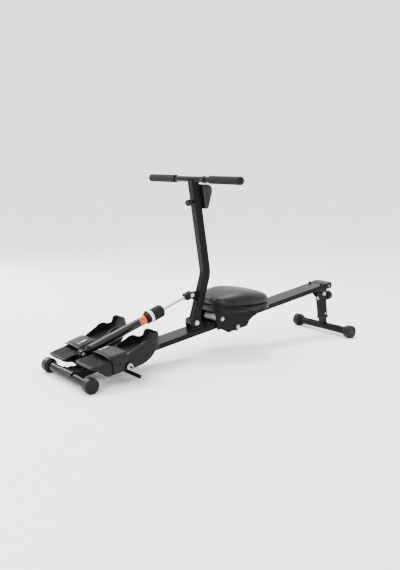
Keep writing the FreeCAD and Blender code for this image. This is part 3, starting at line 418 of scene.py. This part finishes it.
def dress_cad():
    """Give every CAD node its slot's material and softly broken edges."""
    slots = {part["node"]: part["material_slot"] for part in frame["record"]["subparts"]}
    for name, node in frame["nodes"].items():
        node.data.materials.clear()
        node.data.materials.append(LACQUER if name == "cylinder_barrel" else look[slots[name]])
        for polygon in node.data.polygons:
            polygon.use_smooth = True
        weld = node.modifiers.new("weld", "WELD")
        weld.merge_threshold = 0.00001
        bevel = node.modifiers.new("bevel", "BEVEL")
        bevel.width = 0.0003 if name.startswith(("pedal_left", "pedal_right", "resistance")) else 0.0006
        bevel.segments = 2
        bevel.limit_method = "ANGLE"
        bevel.angle_limit = math.radians(38)
        bevel.use_clamp_overlap = True
        normals = node.modifiers.new("normals", "WEIGHTED_NORMAL")
        normals.keep_sharp = True
        normals.weight = 80


# ------------------------------------------------------------------ seat
def seat_rim(turn, half_x, half_y):
    """The seat's plan at an angle: a rounded rectangle, a little narrower in front."""
    power = 3.3
    c, s = math.cos(turn), math.sin(turn)
    reach = (abs(c) ** power + abs(s) ** power) ** (-1 / power)
    x = half_x * reach * c
    y = half_y * reach * s
    return x, y * mix(0.93, 1.0, smooth(-half_x, half_x * 0.2, x))


def crease_wave(turn):
    """The seam round the seat rises and dips a little."""
    return 0.0022 * math.sin(2 * turn + 0.6) + 0.0012 * math.sin(3 * turn + 2.0)


def seat_height(x, share, half_x, rim, crown):
    """The top's height: a crown nearest the front, falling to the rear and the rim."""
    back = smooth(-0.25 * half_x, half_x, x)
    front = smooth(-0.2 * half_x, -half_x, x)
    peak = crown - 0.015 * back - 0.013 * front
    return mix(rim, peak, (1 - share ** 4.6) ** 0.85)


def cushion_mesh(low, high, shrink):
    """The cover: rings over the top by their share of the plan, then rings down the side and underneath."""
    middle = (low + high) / 2
    half_x = (high.x - low.x) / 2 - shrink
    half_y = (high.y - low.y) / 2 - shrink
    crown = high.z + 0.007 - shrink
    rim = low.z + 0.031
    top = (0.02, 0.12, 0.24, 0.36, 0.48, 0.6, 0.7, 0.79, 0.87, 0.93, 0.97, 0.99)
    sides = ((0.0, 0.0), (-0.008, -0.0015), (-0.017, -0.0015), (-0.0245, 0.001))
    rings = [(share, None, 0) for share in top]
    rings += [(1.0, rim + drop, inset) for drop, inset in sides]
    rings += [(1.0, low.z + 0.0008, 0.002), (0.9, low.z + 0.0005, 0.002), (0.4, low.z + 0.0005, 0.002)]
    verts = []
    for share, height, inset in rings:
        for i in range(COVER_POINTS):
            x, y = seat_rim(2 * math.pi * i / COVER_POINTS, half_x - inset, half_y - inset)
            z = seat_height(x * share, share, half_x, rim, crown) if height is None else height
            verts.append(Vector((middle.x + x * share, y * share, z)))
    return verts, capped(len(rings), COVER_POINTS)


def inflate(piece, cap):
    """Puff a closed form with a short cloth simulation, and cap how far a point moves."""
    bpy.context.view_layer.objects.active = piece
    remesh = piece.modifiers.new("remesh", "REMESH")
    remesh.mode = "VOXEL"
    remesh.voxel_size = 0.005
    bpy.ops.object.modifier_apply(modifier=remesh.name)
    start = [vert.co.copy() for vert in piece.data.vertices]
    cloth = piece.modifiers.new("cloth", "CLOTH")
    cloth.settings.quality = 6
    cloth.settings.use_pressure = True
    cloth.settings.uniform_pressure_force = 4
    cloth.settings.effector_weights.gravity = 0
    cloth.settings.tension_stiffness = 12
    cloth.settings.compression_stiffness = 12
    cloth.settings.bending_stiffness = 1.5
    scene = bpy.context.scene
    for number in range(1, 21):
        scene.frame_set(number)
    shape = piece.evaluated_get(bpy.context.evaluated_depsgraph_get())
    moved = [vert.co.copy() for vert in shape.data.vertices]
    piece.modifiers.remove(cloth)
    scene.frame_set(1)
    for vert, first, last in zip(piece.data.vertices, start, moved):
        step = last - first
        if step.length > cap:
            step = step.normalized() * cap
        vert.co = first + step
    for polygon in piece.data.polygons:
        polygon.use_smooth = True


def seat():
    low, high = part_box("seat_cushion")
    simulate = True
    verts, faces = cushion_mesh(low, high, 0.003 if simulate else 0.0005)
    piece = mesh_piece("cushion_cover", verts, faces, "seat", look["leather_black"], "leather_black")
    if simulate:
        inflate(piece, cap=0.004)
        for vert in piece.data.vertices:
            vert.co.z = max(vert.co.z, low.z + 0.0003)
    even = piece.modifiers.new("even", "SMOOTH")
    even.factor = 0.5
    even.iterations = 10
    finer = piece.modifiers.new("finer", "SUBSURF")
    finer.levels = finer.render_levels = 1
    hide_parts("seat_cushion")
    seat_trim(low, high)


def seat_trim(low, high):
    """A welt in the crease, a hem, a stitched line above them, and the cover's turned-under skirt."""
    middle = (low + high) / 2
    half = (high - low) / 2

    def rim_point(turn, inset, up):
        x, y = seat_rim(turn, half.x - inset, half.y - inset)
        return Vector((middle.x + x, y, low.z + up))

    def trim(name, verts, faces, slot="leather_black"):
        return mesh_piece(name, verts, faces, "seat", look[slot], slot)

    turns = [2 * math.pi * i / TRIM_POINTS for i in range(TRIM_POINTS)]
    welt = [rim_point(turn, inset=0.0006, up=0.0062 + crease_wave(turn)) for turn in turns]
    trim("seat_welt", *tube_along(welt, radius=0.0016, closed=True))
    hem = [rim_point(turn, inset=0.0034, up=-0.0108) for turn in turns]
    trim("seat_skirt_hem", *tube_along(hem, radius=0.0014, closed=True))

    stitches = []
    for i in range(STITCHES):
        parts = [2 * math.pi * (i + part) / STITCHES for part in (0.15, 0.5, 0.85)]
        line = [rim_point(turn, inset=-0.0012, up=0.0115 + crease_wave(turn)) for turn in parts]
        stitches.append(tube_along(line, radius=0.00045, sides=6))
    trim("seat_stitches", *joined(stitches), slot="strap_black")

    rings = ((0.004, 0.004), (0.006, 0.0), (0.0, -0.001),
             (-0.006, -0.0005), (-0.0105, 0.0015), (-0.0118, 0.006))
    tuck, puckers = 0.0028, 37
    verts = []
    for up, inset in rings:
        for turn in turns:
            spot = rim_point(turn, inset + tuck, up)
            pucker = 0.0004 * math.sin(puckers * turn) if up < 0 else 0
            spot.x += (spot.x - middle.x) * pucker
            verts.append(spot)
    thick = trim("seat_skirt", verts, stitched(len(rings), TRIM_POINTS)).modifiers.new("thick", "SOLIDIFY")
    thick.thickness = 0.001
    thick.offset = -1


# ------------------------------------------------------------------ footrests
def pedal_place(name):
    """The footrest's own frame: X to the heel, Z up from the tread, at its axle."""
    tilt = math.radians(PEDAL_TILT[name])
    origin = Vector(joints[f"pedal_{name}_tilt"]["pos_m"])
    return place_at(origin, (math.cos(tilt), 0, math.sin(tilt)), (-math.sin(tilt), 0, math.cos(tilt)))


def strap_path(side, grow):
    """Points (across, up) over the instep, from the inner side to the outer side, in millimetres."""
    arch, wall_steps, bend_steps, top_steps = 2, 12, 8, 16
    inner = -side * (STRAP_INNER + grow)
    outer = side * (STRAP_OUTER + grow)
    corner = STRAP_CORNER + grow
    wall = STRAP_TOP + grow - corner - arch
    start = inner + side * corner
    stop = outer - side * corner
    bends = [math.pi / 2 * i / bend_steps for i in range(bend_steps + 1)]
    points = [(inner, mix(STRAP_FOOT, wall, i / wall_steps)) for i in range(wall_steps)]
    points += [(start - side * corner * math.cos(bend), wall + corner * math.sin(bend)) for bend in bends]
    for i in range(1, top_steps):
        share = i / top_steps
        points.append((mix(start, stop, share), wall + corner + arch * math.sin(math.pi * share)))
    points += [(stop + side * corner * math.sin(bend), wall + corner * math.cos(bend)) for bend in bends]
    points += [(outer, mix(wall, STRAP_FOOT, i / wall_steps)) for i in range(1, wall_steps + 1)]
    return points


def band(place, side, grow, front, rear, first=0, last=None, thick=2.0):
    """A strap's strip over a stretch of the path, with edges given by height; its top is slightly domed."""
    shoulder, dome = 50, 0.35
    shares = [j / STRAP_COLUMNS for j in range(STRAP_COLUMNS + 1)]
    outer = []
    for across, up in strap_path(side, grow)[first:last]:
        for share in shares:
            lift = dome * math.sin(math.pi * share) if up > shoulder else 0
            outer.append((mix(front(up), rear(up), share), across, up + lift))
    inner = []
    for across, up in strap_path(side, grow - thick)[first:last]:
        inner += [(mix(front(up), rear(up), share), across, up) for share in shares]
    wide = len(shares)
    total = len(outer)
    rows = total // wide
    faces = []
    for r in range(rows - 1):
        for j in range(STRAP_COLUMNS):
            a = r * wide + j
            d = a + wide
            faces.append((a, a + 1, d + 1, d))
            faces.append((total + d, total + d + 1, total + a + 1, total + a))
        for a in (r * wide, r * wide + STRAP_COLUMNS):
            faces.append((a, a + wide, total + a + wide, total + a))
    for r in (0, rows - 1):
        for a in range(r * wide, r * wide + STRAP_COLUMNS):
            faces.append((a, a + 1, total + a + 1, total + a))
    return [place @ (Vector(spot) * MM) for spot in outer + inner], faces


# The edges of the strap and of its flap along the footrest, by height, in millimetres.
def strap_front(up):
    return mix(-61.0, -75.0, smooth(41.5, 46, up))


def strap_rear(up):
    return mix(-24.0, -2.0, smooth(-6, 34, up))


def flap_front(up):
    return -66.0 + 3 * smooth(20, 50, up)


def flap_rear(up):
    return -10.0


def strap(name):
    """The moulded strap, its overlapping end, seams, studs and a wire loop."""
    side = PEDAL_SIDE[name]
    place = pedal_place(name)
    body = "footrest_" + name

    def add(label, verts, faces, slot="strap_black"):
        return mesh_piece(label + name, verts, faces, body, look[slot], slot)

    piece = add("strap_", *band(place, side, grow=0.0, front=strap_front, rear=strap_rear))
    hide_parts("pedal_strap_" + name)
    edge = piece.modifiers.new("edge", "BEVEL")
    edge.width = 0.0006
    edge.segments = 2
    edge.limit_method = "ANGLE"
    add("strap_flap_", *band(place, side, grow=1.3, front=flap_front, rear=flap_rear,
                             first=17, last=46, thick=1.2))

    seams = []
    for along in (-69, -7):
        line = [place @ (Vector((along, across, up + 0.35)) * MM)
                for across, up in strap_path(side, grow=0.15)[14:43]]
        for a, b in zip(line, line[1:]):
            gap = (b - a) * 0.2
            seams.append(tube_along([a + gap, b - gap], radius=0.00035, sides=6))
    add("strap_seams_", *joined(seams))

    head = [(0.0, 0.0012), (0.0018, 0.001), (0.0032, 0.0004), (0.0034, -0.001)]
    studs = []
    out, up = 59.4, 20
    for along in (-50, -33):
        spot = place_at(place @ (Vector((along, side * out, up)) * MM), (1, 0, 0), (0, side, 0))
        studs.append(lathe(head, spot, 24))
    add("strap_rivets_", *joined(studs), slot="black_plastic")

    loop = ((-60, 24, 60.7), (-60, 33, 60.3), (-22, 33, 60.3), (-22, 24, 60.7))
    ring = [place @ (Vector((along, -side * across, up)) * MM) for along, across, up in loop]
    add("strap_loop_", *tube_along(ring, radius=0.0011, closed=True), slot="bright_steel")


def cup_floor(along):
    """The heel cup's floor falls to the rear in two slopes, in millimetres."""
    if along < 30:
        return mix(38.0, 34.0, (along - 12) / 18)
    return mix(34.0, 32.0, (along - 30) / 66)


def treads(name):
    """Rows of raised studs on the toe tread and in the heel cup."""
    place = pedal_place(name)

    def stud(along, across, half_long, half_wide, bottom, top, edge):
        return block(place, Vector((along - half_long, across - half_wide, bottom)) * MM,
                     Vector((along + half_long, across + half_wide, top)) * MM, edge)

    studs = []
    toe_rows, toe_columns, toe_pitch, toe_step = 7, 11, 9.4, 10
    for i in range(toe_rows):
        for j in range(toe_columns):
            studs.append(stud(-127.5 + toe_pitch * i, -50 + toe_step * j, half_long=2.6, half_wide=2.9,
                              bottom=39.8, top=41.6, edge=0.0004))
    cup_rows, cup_columns, cup_pitch, cup_step = 9, 8, 9.6, 11
    for i in range(cup_rows):
        along = 12 + cup_pitch * i
        floor = cup_floor(along)
        for j in range(cup_columns):
            studs.append(stud(along, -38.5 + cup_step * j, half_long=3.1, half_wide=3.6,
                              bottom=floor - 0.6, top=floor + 1.2, edge=0.0005))
    mesh_piece("tread_studs_" + name, *joined(studs), "footrest_" + name,
               look["black_plastic"], "black_plastic", soft=False)


# ------------------------------------------------------------------ handlebar
def foam_grip(name, side):
    """A foam sleeve: slightly swollen, with rolled ends and faint rings."""
    low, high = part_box("grip_" + name)
    middle = (low + high) / 2
    place = place_at(middle, (1, 0, 0), (0, side, 0))
    half = (high.y - low.y) / 2
    radius = (high.x - low.x) / 2
    bore = 0.0111
    lip = 0.0026
    profile = [(bore, -half), (radius - lip, -half), (radius - 0.0008, -half + 0.0006),
               (radius, -half + lip)]
    rings = 60
    for i in range(1, rings):
        along = mix(-half + lip, half - 0.004, i / rings)
        swell = 0.0002 * math.sin(i * 1.9) + 0.0003 * noise.noise(Vector((along * 60, side * 3.0, 0)))
        profile.append((radius - 0.0003 + swell, along))
    profile += [(radius - 0.0006, half - 0.0025), (radius - 0.0022, half - 0.0006), (radius - 0.004, half),
                (bore, half), (bore, -half)]
    verts, faces = lathe(profile, place, steps=56)
    piece = mesh_piece("foam_grip_" + name, verts, faces, "arm", look["foam_black"], "foam_black")
    work = bmesh.new()
    work.from_mesh(piece.data)
    bmesh.ops.remove_doubles(work, verts=work.verts, dist=1e-6)
    work.to_mesh(piece.data)
    work.free()
    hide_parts("grip_" + name)


# ------------------------------------------------------------------ console
def mast_top_place():
    """The mast top's frame: X out of its rear face, Z up along it, at the clamp knob's height."""
    knob = joints["console_knob_turn"]
    out = Vector(knob["axis"])
    out = out if out.x > 0 else -out
    return place_at(Vector(knob["pos_m"]) + out * MAST_FACE, out, (-out.z, 0, out.x))


def rounded_outline(corners, radii, steps=6):
    """A polygon with an arc at each corner."""
    points = []
    count = len(corners)
    for i, (corner, radius) in enumerate(zip(corners, radii)):
        here = Vector(corner)
        before = (Vector(corners[i - 1]) - here).normalized()
        after = (Vector(corners[(i + 1) % count]) - here).normalized()
        for step in range(steps + 1):
            share = step / steps
            points.append(here + before * radius * (1 - share) ** 2 + after * radius * share ** 2)
    return points


def hollow(piece, shape):
    """Cut a closed shape out of a piece."""
    mesh = bpy.data.meshes.new("cutter")
    mesh.from_pydata([tuple(v) for v in shape[0]], [], shape[1])
    cutter = bpy.data.objects.new("cutter", mesh)
    bpy.context.scene.collection.objects.link(cutter)
    cut = piece.modifiers.new("cut", "BOOLEAN")
    cut.operation = "DIFFERENCE"
    cut.solver = "EXACT"
    cut.object = cutter
    bpy.context.view_layer.objects.active = piece
    bpy.ops.object.modifier_apply(modifier=cut.name)
    bpy.data.objects.remove(cutter)


def rounded_square(half, radius):
    """A square's outline with arcs at its corners."""
    points = []
    for i, (x, y) in enumerate(((-1, -1), (1, -1), (1, 1), (-1, 1))):
        for step in range(7):
            turn = math.pi + math.pi / 2 * (i + step / 6)
            points.append((x * (half - radius) + radius * math.cos(turn),
                           y * (half - radius) + radius * math.sin(turn)))
    return points


def console_shell(place):
    """A wedge with rounded corners and sides, hollowed where its button is pressed in."""
    corners = [(18.5, -33), (31, -34), (62, 28), (59, 51), (30, 61), (18.5, 60)]
    outline = rounded_outline(corners, radii=(5, 5, 12, 13, 13, 5))
    centre = Vector((38, 12))
    half = ((-33, 6.0), (-32.4, 3.2), (-30.6, 1.2), (-27.5, 0.1))
    rings = half + tuple((-across, shrink) for across, shrink in reversed(half))
    verts = []
    for across, shrink in rings:
        for point in outline:
            spot = point + (centre - point).normalized() * shrink
            verts.append(place @ (Vector((spot.x, across, spot.y)) * MM))
    faces = capped(len(rings), len(outline))
    shell = mesh_piece("console_shell", verts, faces, "arm", LACQUER, "black_plastic")
    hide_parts("console_housing")
    press = Vector(joints["console_button_press"]["axis"])
    press = press if press.x > 0 else -press
    low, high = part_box("console_button")
    well = place_at((low + high) / 2, (0, 1, 0), press)
    radius, floor, mouth = 0.0041, -0.0032, 0.012
    hollow(shell, lathe([(radius, floor), (radius, mouth)], well, steps=32))


def console_display(place):
    """The display's bezel, its pane and plain unlit segments."""
    out = place.to_3x3() @ Vector((math.cos(CONSOLE_LEAN), 0, -math.sin(CONSOLE_LEAN)))
    face = place_at(place @ (Vector((46.5, 0, -3)) * MM), (0, 1, 0), out)
    flip = 1 if (face.to_3x3() @ Vector((0, 1, 0))).z > 0 else -1
    ring = [face @ (Vector((x, y * flip, 0.2)) * MM) for x, y in rounded_square(half=26, radius=4)]
    mesh_piece("console_bezel", *tube_along(ring, radius=0.0013, closed=True, sides=8), "arm",
               look["black_plastic"], "black_plastic")
    outline = rounded_square(half=25.4, radius=3.6)
    pane = [face @ (Vector((x, y * flip, z)) * MM) for z in (-0.6, 0.45) for x, y in outline]
    glass = mesh_piece("console_glass", pane, capped(2, len(outline)),
                       "arm", look["screen_grey"], "screen_grey", soft=False)
    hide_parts("console_screen")
    first, pitch, half_high = -18.6, 10, 5
    strokes = ((0, 0, 5, 0.8), (0, 5, 5, 5.8), (0, 10, 5, 10.8), (0, 0.6, 0.8, 10.2), (4.6, 0.6, 5.4, 10.2))
    bars = []
    for row, places in ((9, 4), (-10, 3)):
        for number in range(places):
            left = first + number * pitch
            for x0, y0, x1, y1 in strokes:
                ends = ((row + y0 - half_high) * flip, (row + y1 - half_high) * flip)
                bars.append(block(face, Vector((left + x0, min(ends), 0.2)) * MM,
                                  Vector((left + x1, max(ends), 0.55)) * MM))
    mesh_piece("console_segments", *joined(bars), "arm", INK, "screen_grey", soft=False)


# ------------------------------------------------------------------ cylinder
def cylinder_place(along):
    """A frame on the cylinder's axis, Z towards the rod."""
    joint = joints["dial_turn"]
    axis = Vector(joint["axis"])
    return place_at(Vector(joint["pos_m"]) + axis * along, (0, 1, 0), axis)


def scale_ticks():
    """Printed ticks round the white ring."""
    ticks = []
    place = cylinder_place(along=0)
    low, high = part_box("scale_ring")
    radius = (high.y - low.y) / 2
    place.translation = (low + high) / 2
    count = 24
    for i in range(count):
        turn = 2 * math.pi * i / count
        spoke = place @ Matrix.Rotation(turn, 4, "Z")
        half = 0.0034 if i % 3 == 0 else 0.0018
        ticks.append(block(spoke, (radius - 0.0002, -0.0009, -half), (radius + 0.00012, 0.0009, half)))
    mesh_piece("scale_ticks", *joined(ticks), "cylinder", INK, "scale_white", soft=False)


def arc_bar(place, middle, wide, low, high, steps=10):
    """A thin curved bar on the label, between two heights in millimetres."""
    verts = []
    for i in range(steps + 1):
        turn = math.radians(middle + wide * (i / steps - 0.5))
        for radius in LABEL_SKIN:
            for z in (low, high):
                verts.append(place @ Vector((radius * math.cos(turn), radius * math.sin(turn), z * MM)))
    faces = []
    for i in range(steps):
        a, b = i * 4, (i + 1) * 4
        faces += [(a, a + 1, b + 1, b), (a + 2, b + 2, b + 3, a + 3)]
        faces += [(a, b, b + 2, a + 2), (a + 1, a + 3, b + 3, b + 1)]
    end = steps * 4
    return verts, faces + [(0, 2, 3, 1), (end, end + 1, end + 3, end + 2)]


def label_bars():
    """Plain pale bars on the orange band, in place of its print."""
    place = cylinder_place(along=0.258)
    bars = []
    for middle in range(0, 360, 90):
        for low, high, wide in ((-9.6, -8.7, 64), (8.4, 9.3, 64), (-1.0, 1.6, 34)):
            bars.append(arc_bar(place, middle, wide, low, high))
    mesh_piece("label_bars", *joined(bars), "cylinder", PALE, "label_orange", soft=False)


# ------------------------------------------------------------------ welds and screws
def rail_place():
    """The rail's frame: X along it, Z square to its top, at its front end's top edge."""
    axis = Vector(joints["seat_slide"]["axis"])
    roller = Vector(joints["roller_front_turn"]["pos_m"])
    square = Vector((-axis.z, 0, axis.x))
    along, up = 0.640, 0.015
    return place_at(roller - axis * along - square * up, axis, square)


def bead(points, radius=0.0016):
    """A weld bead: a tube with a rippled line."""
    pitch, sides, wander, swell = 0.0016, 8, 0.00025, 0.18
    fine = []
    for a, b in zip(points, points[1:]):
        count = max(2, int((b - a).length / pitch))
        for i in range(count):
            fine.append(a.lerp(b, i / count))
    fine.append(points[-1])
    rippled = [p + noise.noise_vector(p * 900) * wander for p in fine]
    verts, faces = tube_along(rippled, radius, sides=sides)
    for i, vert in enumerate(verts):
        ring = i // sides
        verts[i] = vert + (vert - rippled[ring]) * (swell * math.sin(ring * 2.1))
    return verts, faces


def rail_welds():
    """Beads along the mast's bracket, the cylinder's lug and the sleeve, and across the saddle."""
    rail = rail_place()
    runs = {"bracket": ((0.518, 0.0198, 0.0004), (0.563, 0.0198, 0.0004)),
            "lug": ((0.040, 0.0143, 0.0004), (0.080, 0.0143, 0.0004)),
            "sleeve": ((1.206, 0.0198, -0.0204), (1.225, 0.0198, -0.0204)),
            "saddle": ((0.034, 0.041, 0.0004), (0.034, 0.005, 0.0004))}
    beads = []
    for side in (-1, 1):
        for ends in runs.values():
            beads.append(bead([rail @ Vector((x, side * y, z)) for x, y, z in ends]))
    mesh_piece("rail_welds", *joined(beads), "frame", WELD, "painted_black")


def bar_welds():
    """The weld where the bar crosses the mast's top, on both sides."""
    low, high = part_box("handlebar")
    middle = (low + high) / 2
    across = Vector(joints["console_knob_turn"]["axis"])
    up = Vector((-across.z, 0, across.x))
    reach, first, sweep, steps = 0.0112, 200, 140, 16
    beads = []
    for side in (-1, 1):
        points = []
        for i in range(steps + 1):
            turn = math.radians(first + sweep * i / steps)
            round_bar = across * reach * math.cos(turn) + up * reach * math.sin(turn)
            points.append(middle + round_bar + Vector((0, side * MAST_FACE, 0)))
        beads.append(bead(points, radius=0.0013))
    mesh_piece("bar_welds", *joined(beads), "arm", WELD, "painted_black")


def cap_screws():
    """Round-headed screws through the rail's end cap."""
    rail = rail_place()
    along, out, up = 1.245, 0.0445, -0.0115
    head = [(0.0, 0.0010), (0.0012, 0.0013), (0.0028, 0.0009), (0.0036, -0.0004)]
    heads = []
    for side in (-1, 1):
        spot = place_at(rail @ Vector((along, side * out, up)), (1, 0, 0), (0, side, 0))
        heads.append(lathe(head, spot, steps=24))
    mesh_piece("cap_screws", *joined(heads), "frame", look["bright_steel"], "bright_steel")


# ------------------------------------------------------------------ studio
def area_light(name, spot, aim, size, power):
    data = bpy.data.lights.new(name, "AREA")
    data.shape = "RECTANGLE"
    data.size, data.size_y = size
    data.energy = power
    lamp = bpy.data.objects.new(name, data)
    bpy.context.scene.collection.objects.link(lamp)
    lamp.location = spot
    lamp.rotation_euler = (Vector(aim) - Vector(spot)).to_track_quat("-Z", "Y").to_euler()


def studio():
    """A pale floor to the horizon, an even sky, a soft overhead light and three softboxes."""
    floor = bpy.data.meshes.new("studio_floor")
    reach = 400
    corners = [(-reach, -reach, 0), (reach, -reach, 0), (reach, reach, 0), (-reach, reach, 0)]
    floor.from_pydata(corners, [], [(0, 1, 2, 3)])
    ground = bpy.data.objects.new("studio_floor", floor)
    bpy.context.scene.collection.objects.link(ground)
    s = Surface("studio_paper", (0.93, 0.93, 0.93), 0.9, specular=0.1)
    s.colours(s.noise(3, 2), (0.925, 0.925, 0.925), (0.935, 0.935, 0.935))
    ground.data.materials.append(s.material)
    world = bpy.data.worlds.new("studio_air")
    bpy.context.scene.world = world
    world.use_nodes = True
    world.node_tree.nodes["Background"].inputs["Color"].default_value = (1, 1, 1, 1)
    world.node_tree.nodes["Background"].inputs["Strength"].default_value = 2.1
    sky = bpy.data.lights.new("overhead", "SUN")
    sky.energy = 0.7
    sky.angle = math.radians(70)
    bpy.context.scene.collection.objects.link(bpy.data.objects.new("overhead", sky))
    area_light("softbox_top", (0.4, 0.9, 2.6), aim=(0, 0, 0.2), size=(2.4, 0.7), power=110)
    area_light("softbox_key", (-2.6, -1.2, 1.9), aim=(0, 0, 0.3), size=(0.5, 1.6), power=75)
    area_light("softbox_rim", (-0.6, 2.8, 1.3), aim=(0, 0, 0.3), size=(0.5, 1.6), power=60)


def camera():
    """A normal lens from the front left, a little above the machine."""
    data = bpy.data.cameras.new("camera")
    data.lens = 45.2
    eye = bpy.data.objects.new("camera", data)
    bpy.context.scene.collection.objects.link(eye)
    turn, lift, away = math.radians(-36.9), math.radians(9.9), 2.7455
    behind_front, height = 0.5892, 0.28075
    target = Vector((cad_box[0].x + behind_front, 0, height))
    back = Vector((math.sin(turn) * math.cos(lift), -math.cos(turn) * math.cos(lift), math.sin(lift)))
    eye.location = target + back * away
    eye.rotation_euler = (-back).to_track_quat("-Z", "Y").to_euler()
    bpy.context.scene.camera = eye


dress_cad()
seat()
for which in ("left", "right"):
    strap(which)
    treads(which)
    foam_grip(which, PEDAL_SIDE[which])
console_shell(mast_top_place())
console_display(mast_top_place())
scale_ticks()
label_bars()
rail_welds()
bar_welds()
cap_screws()
studio()
camera()
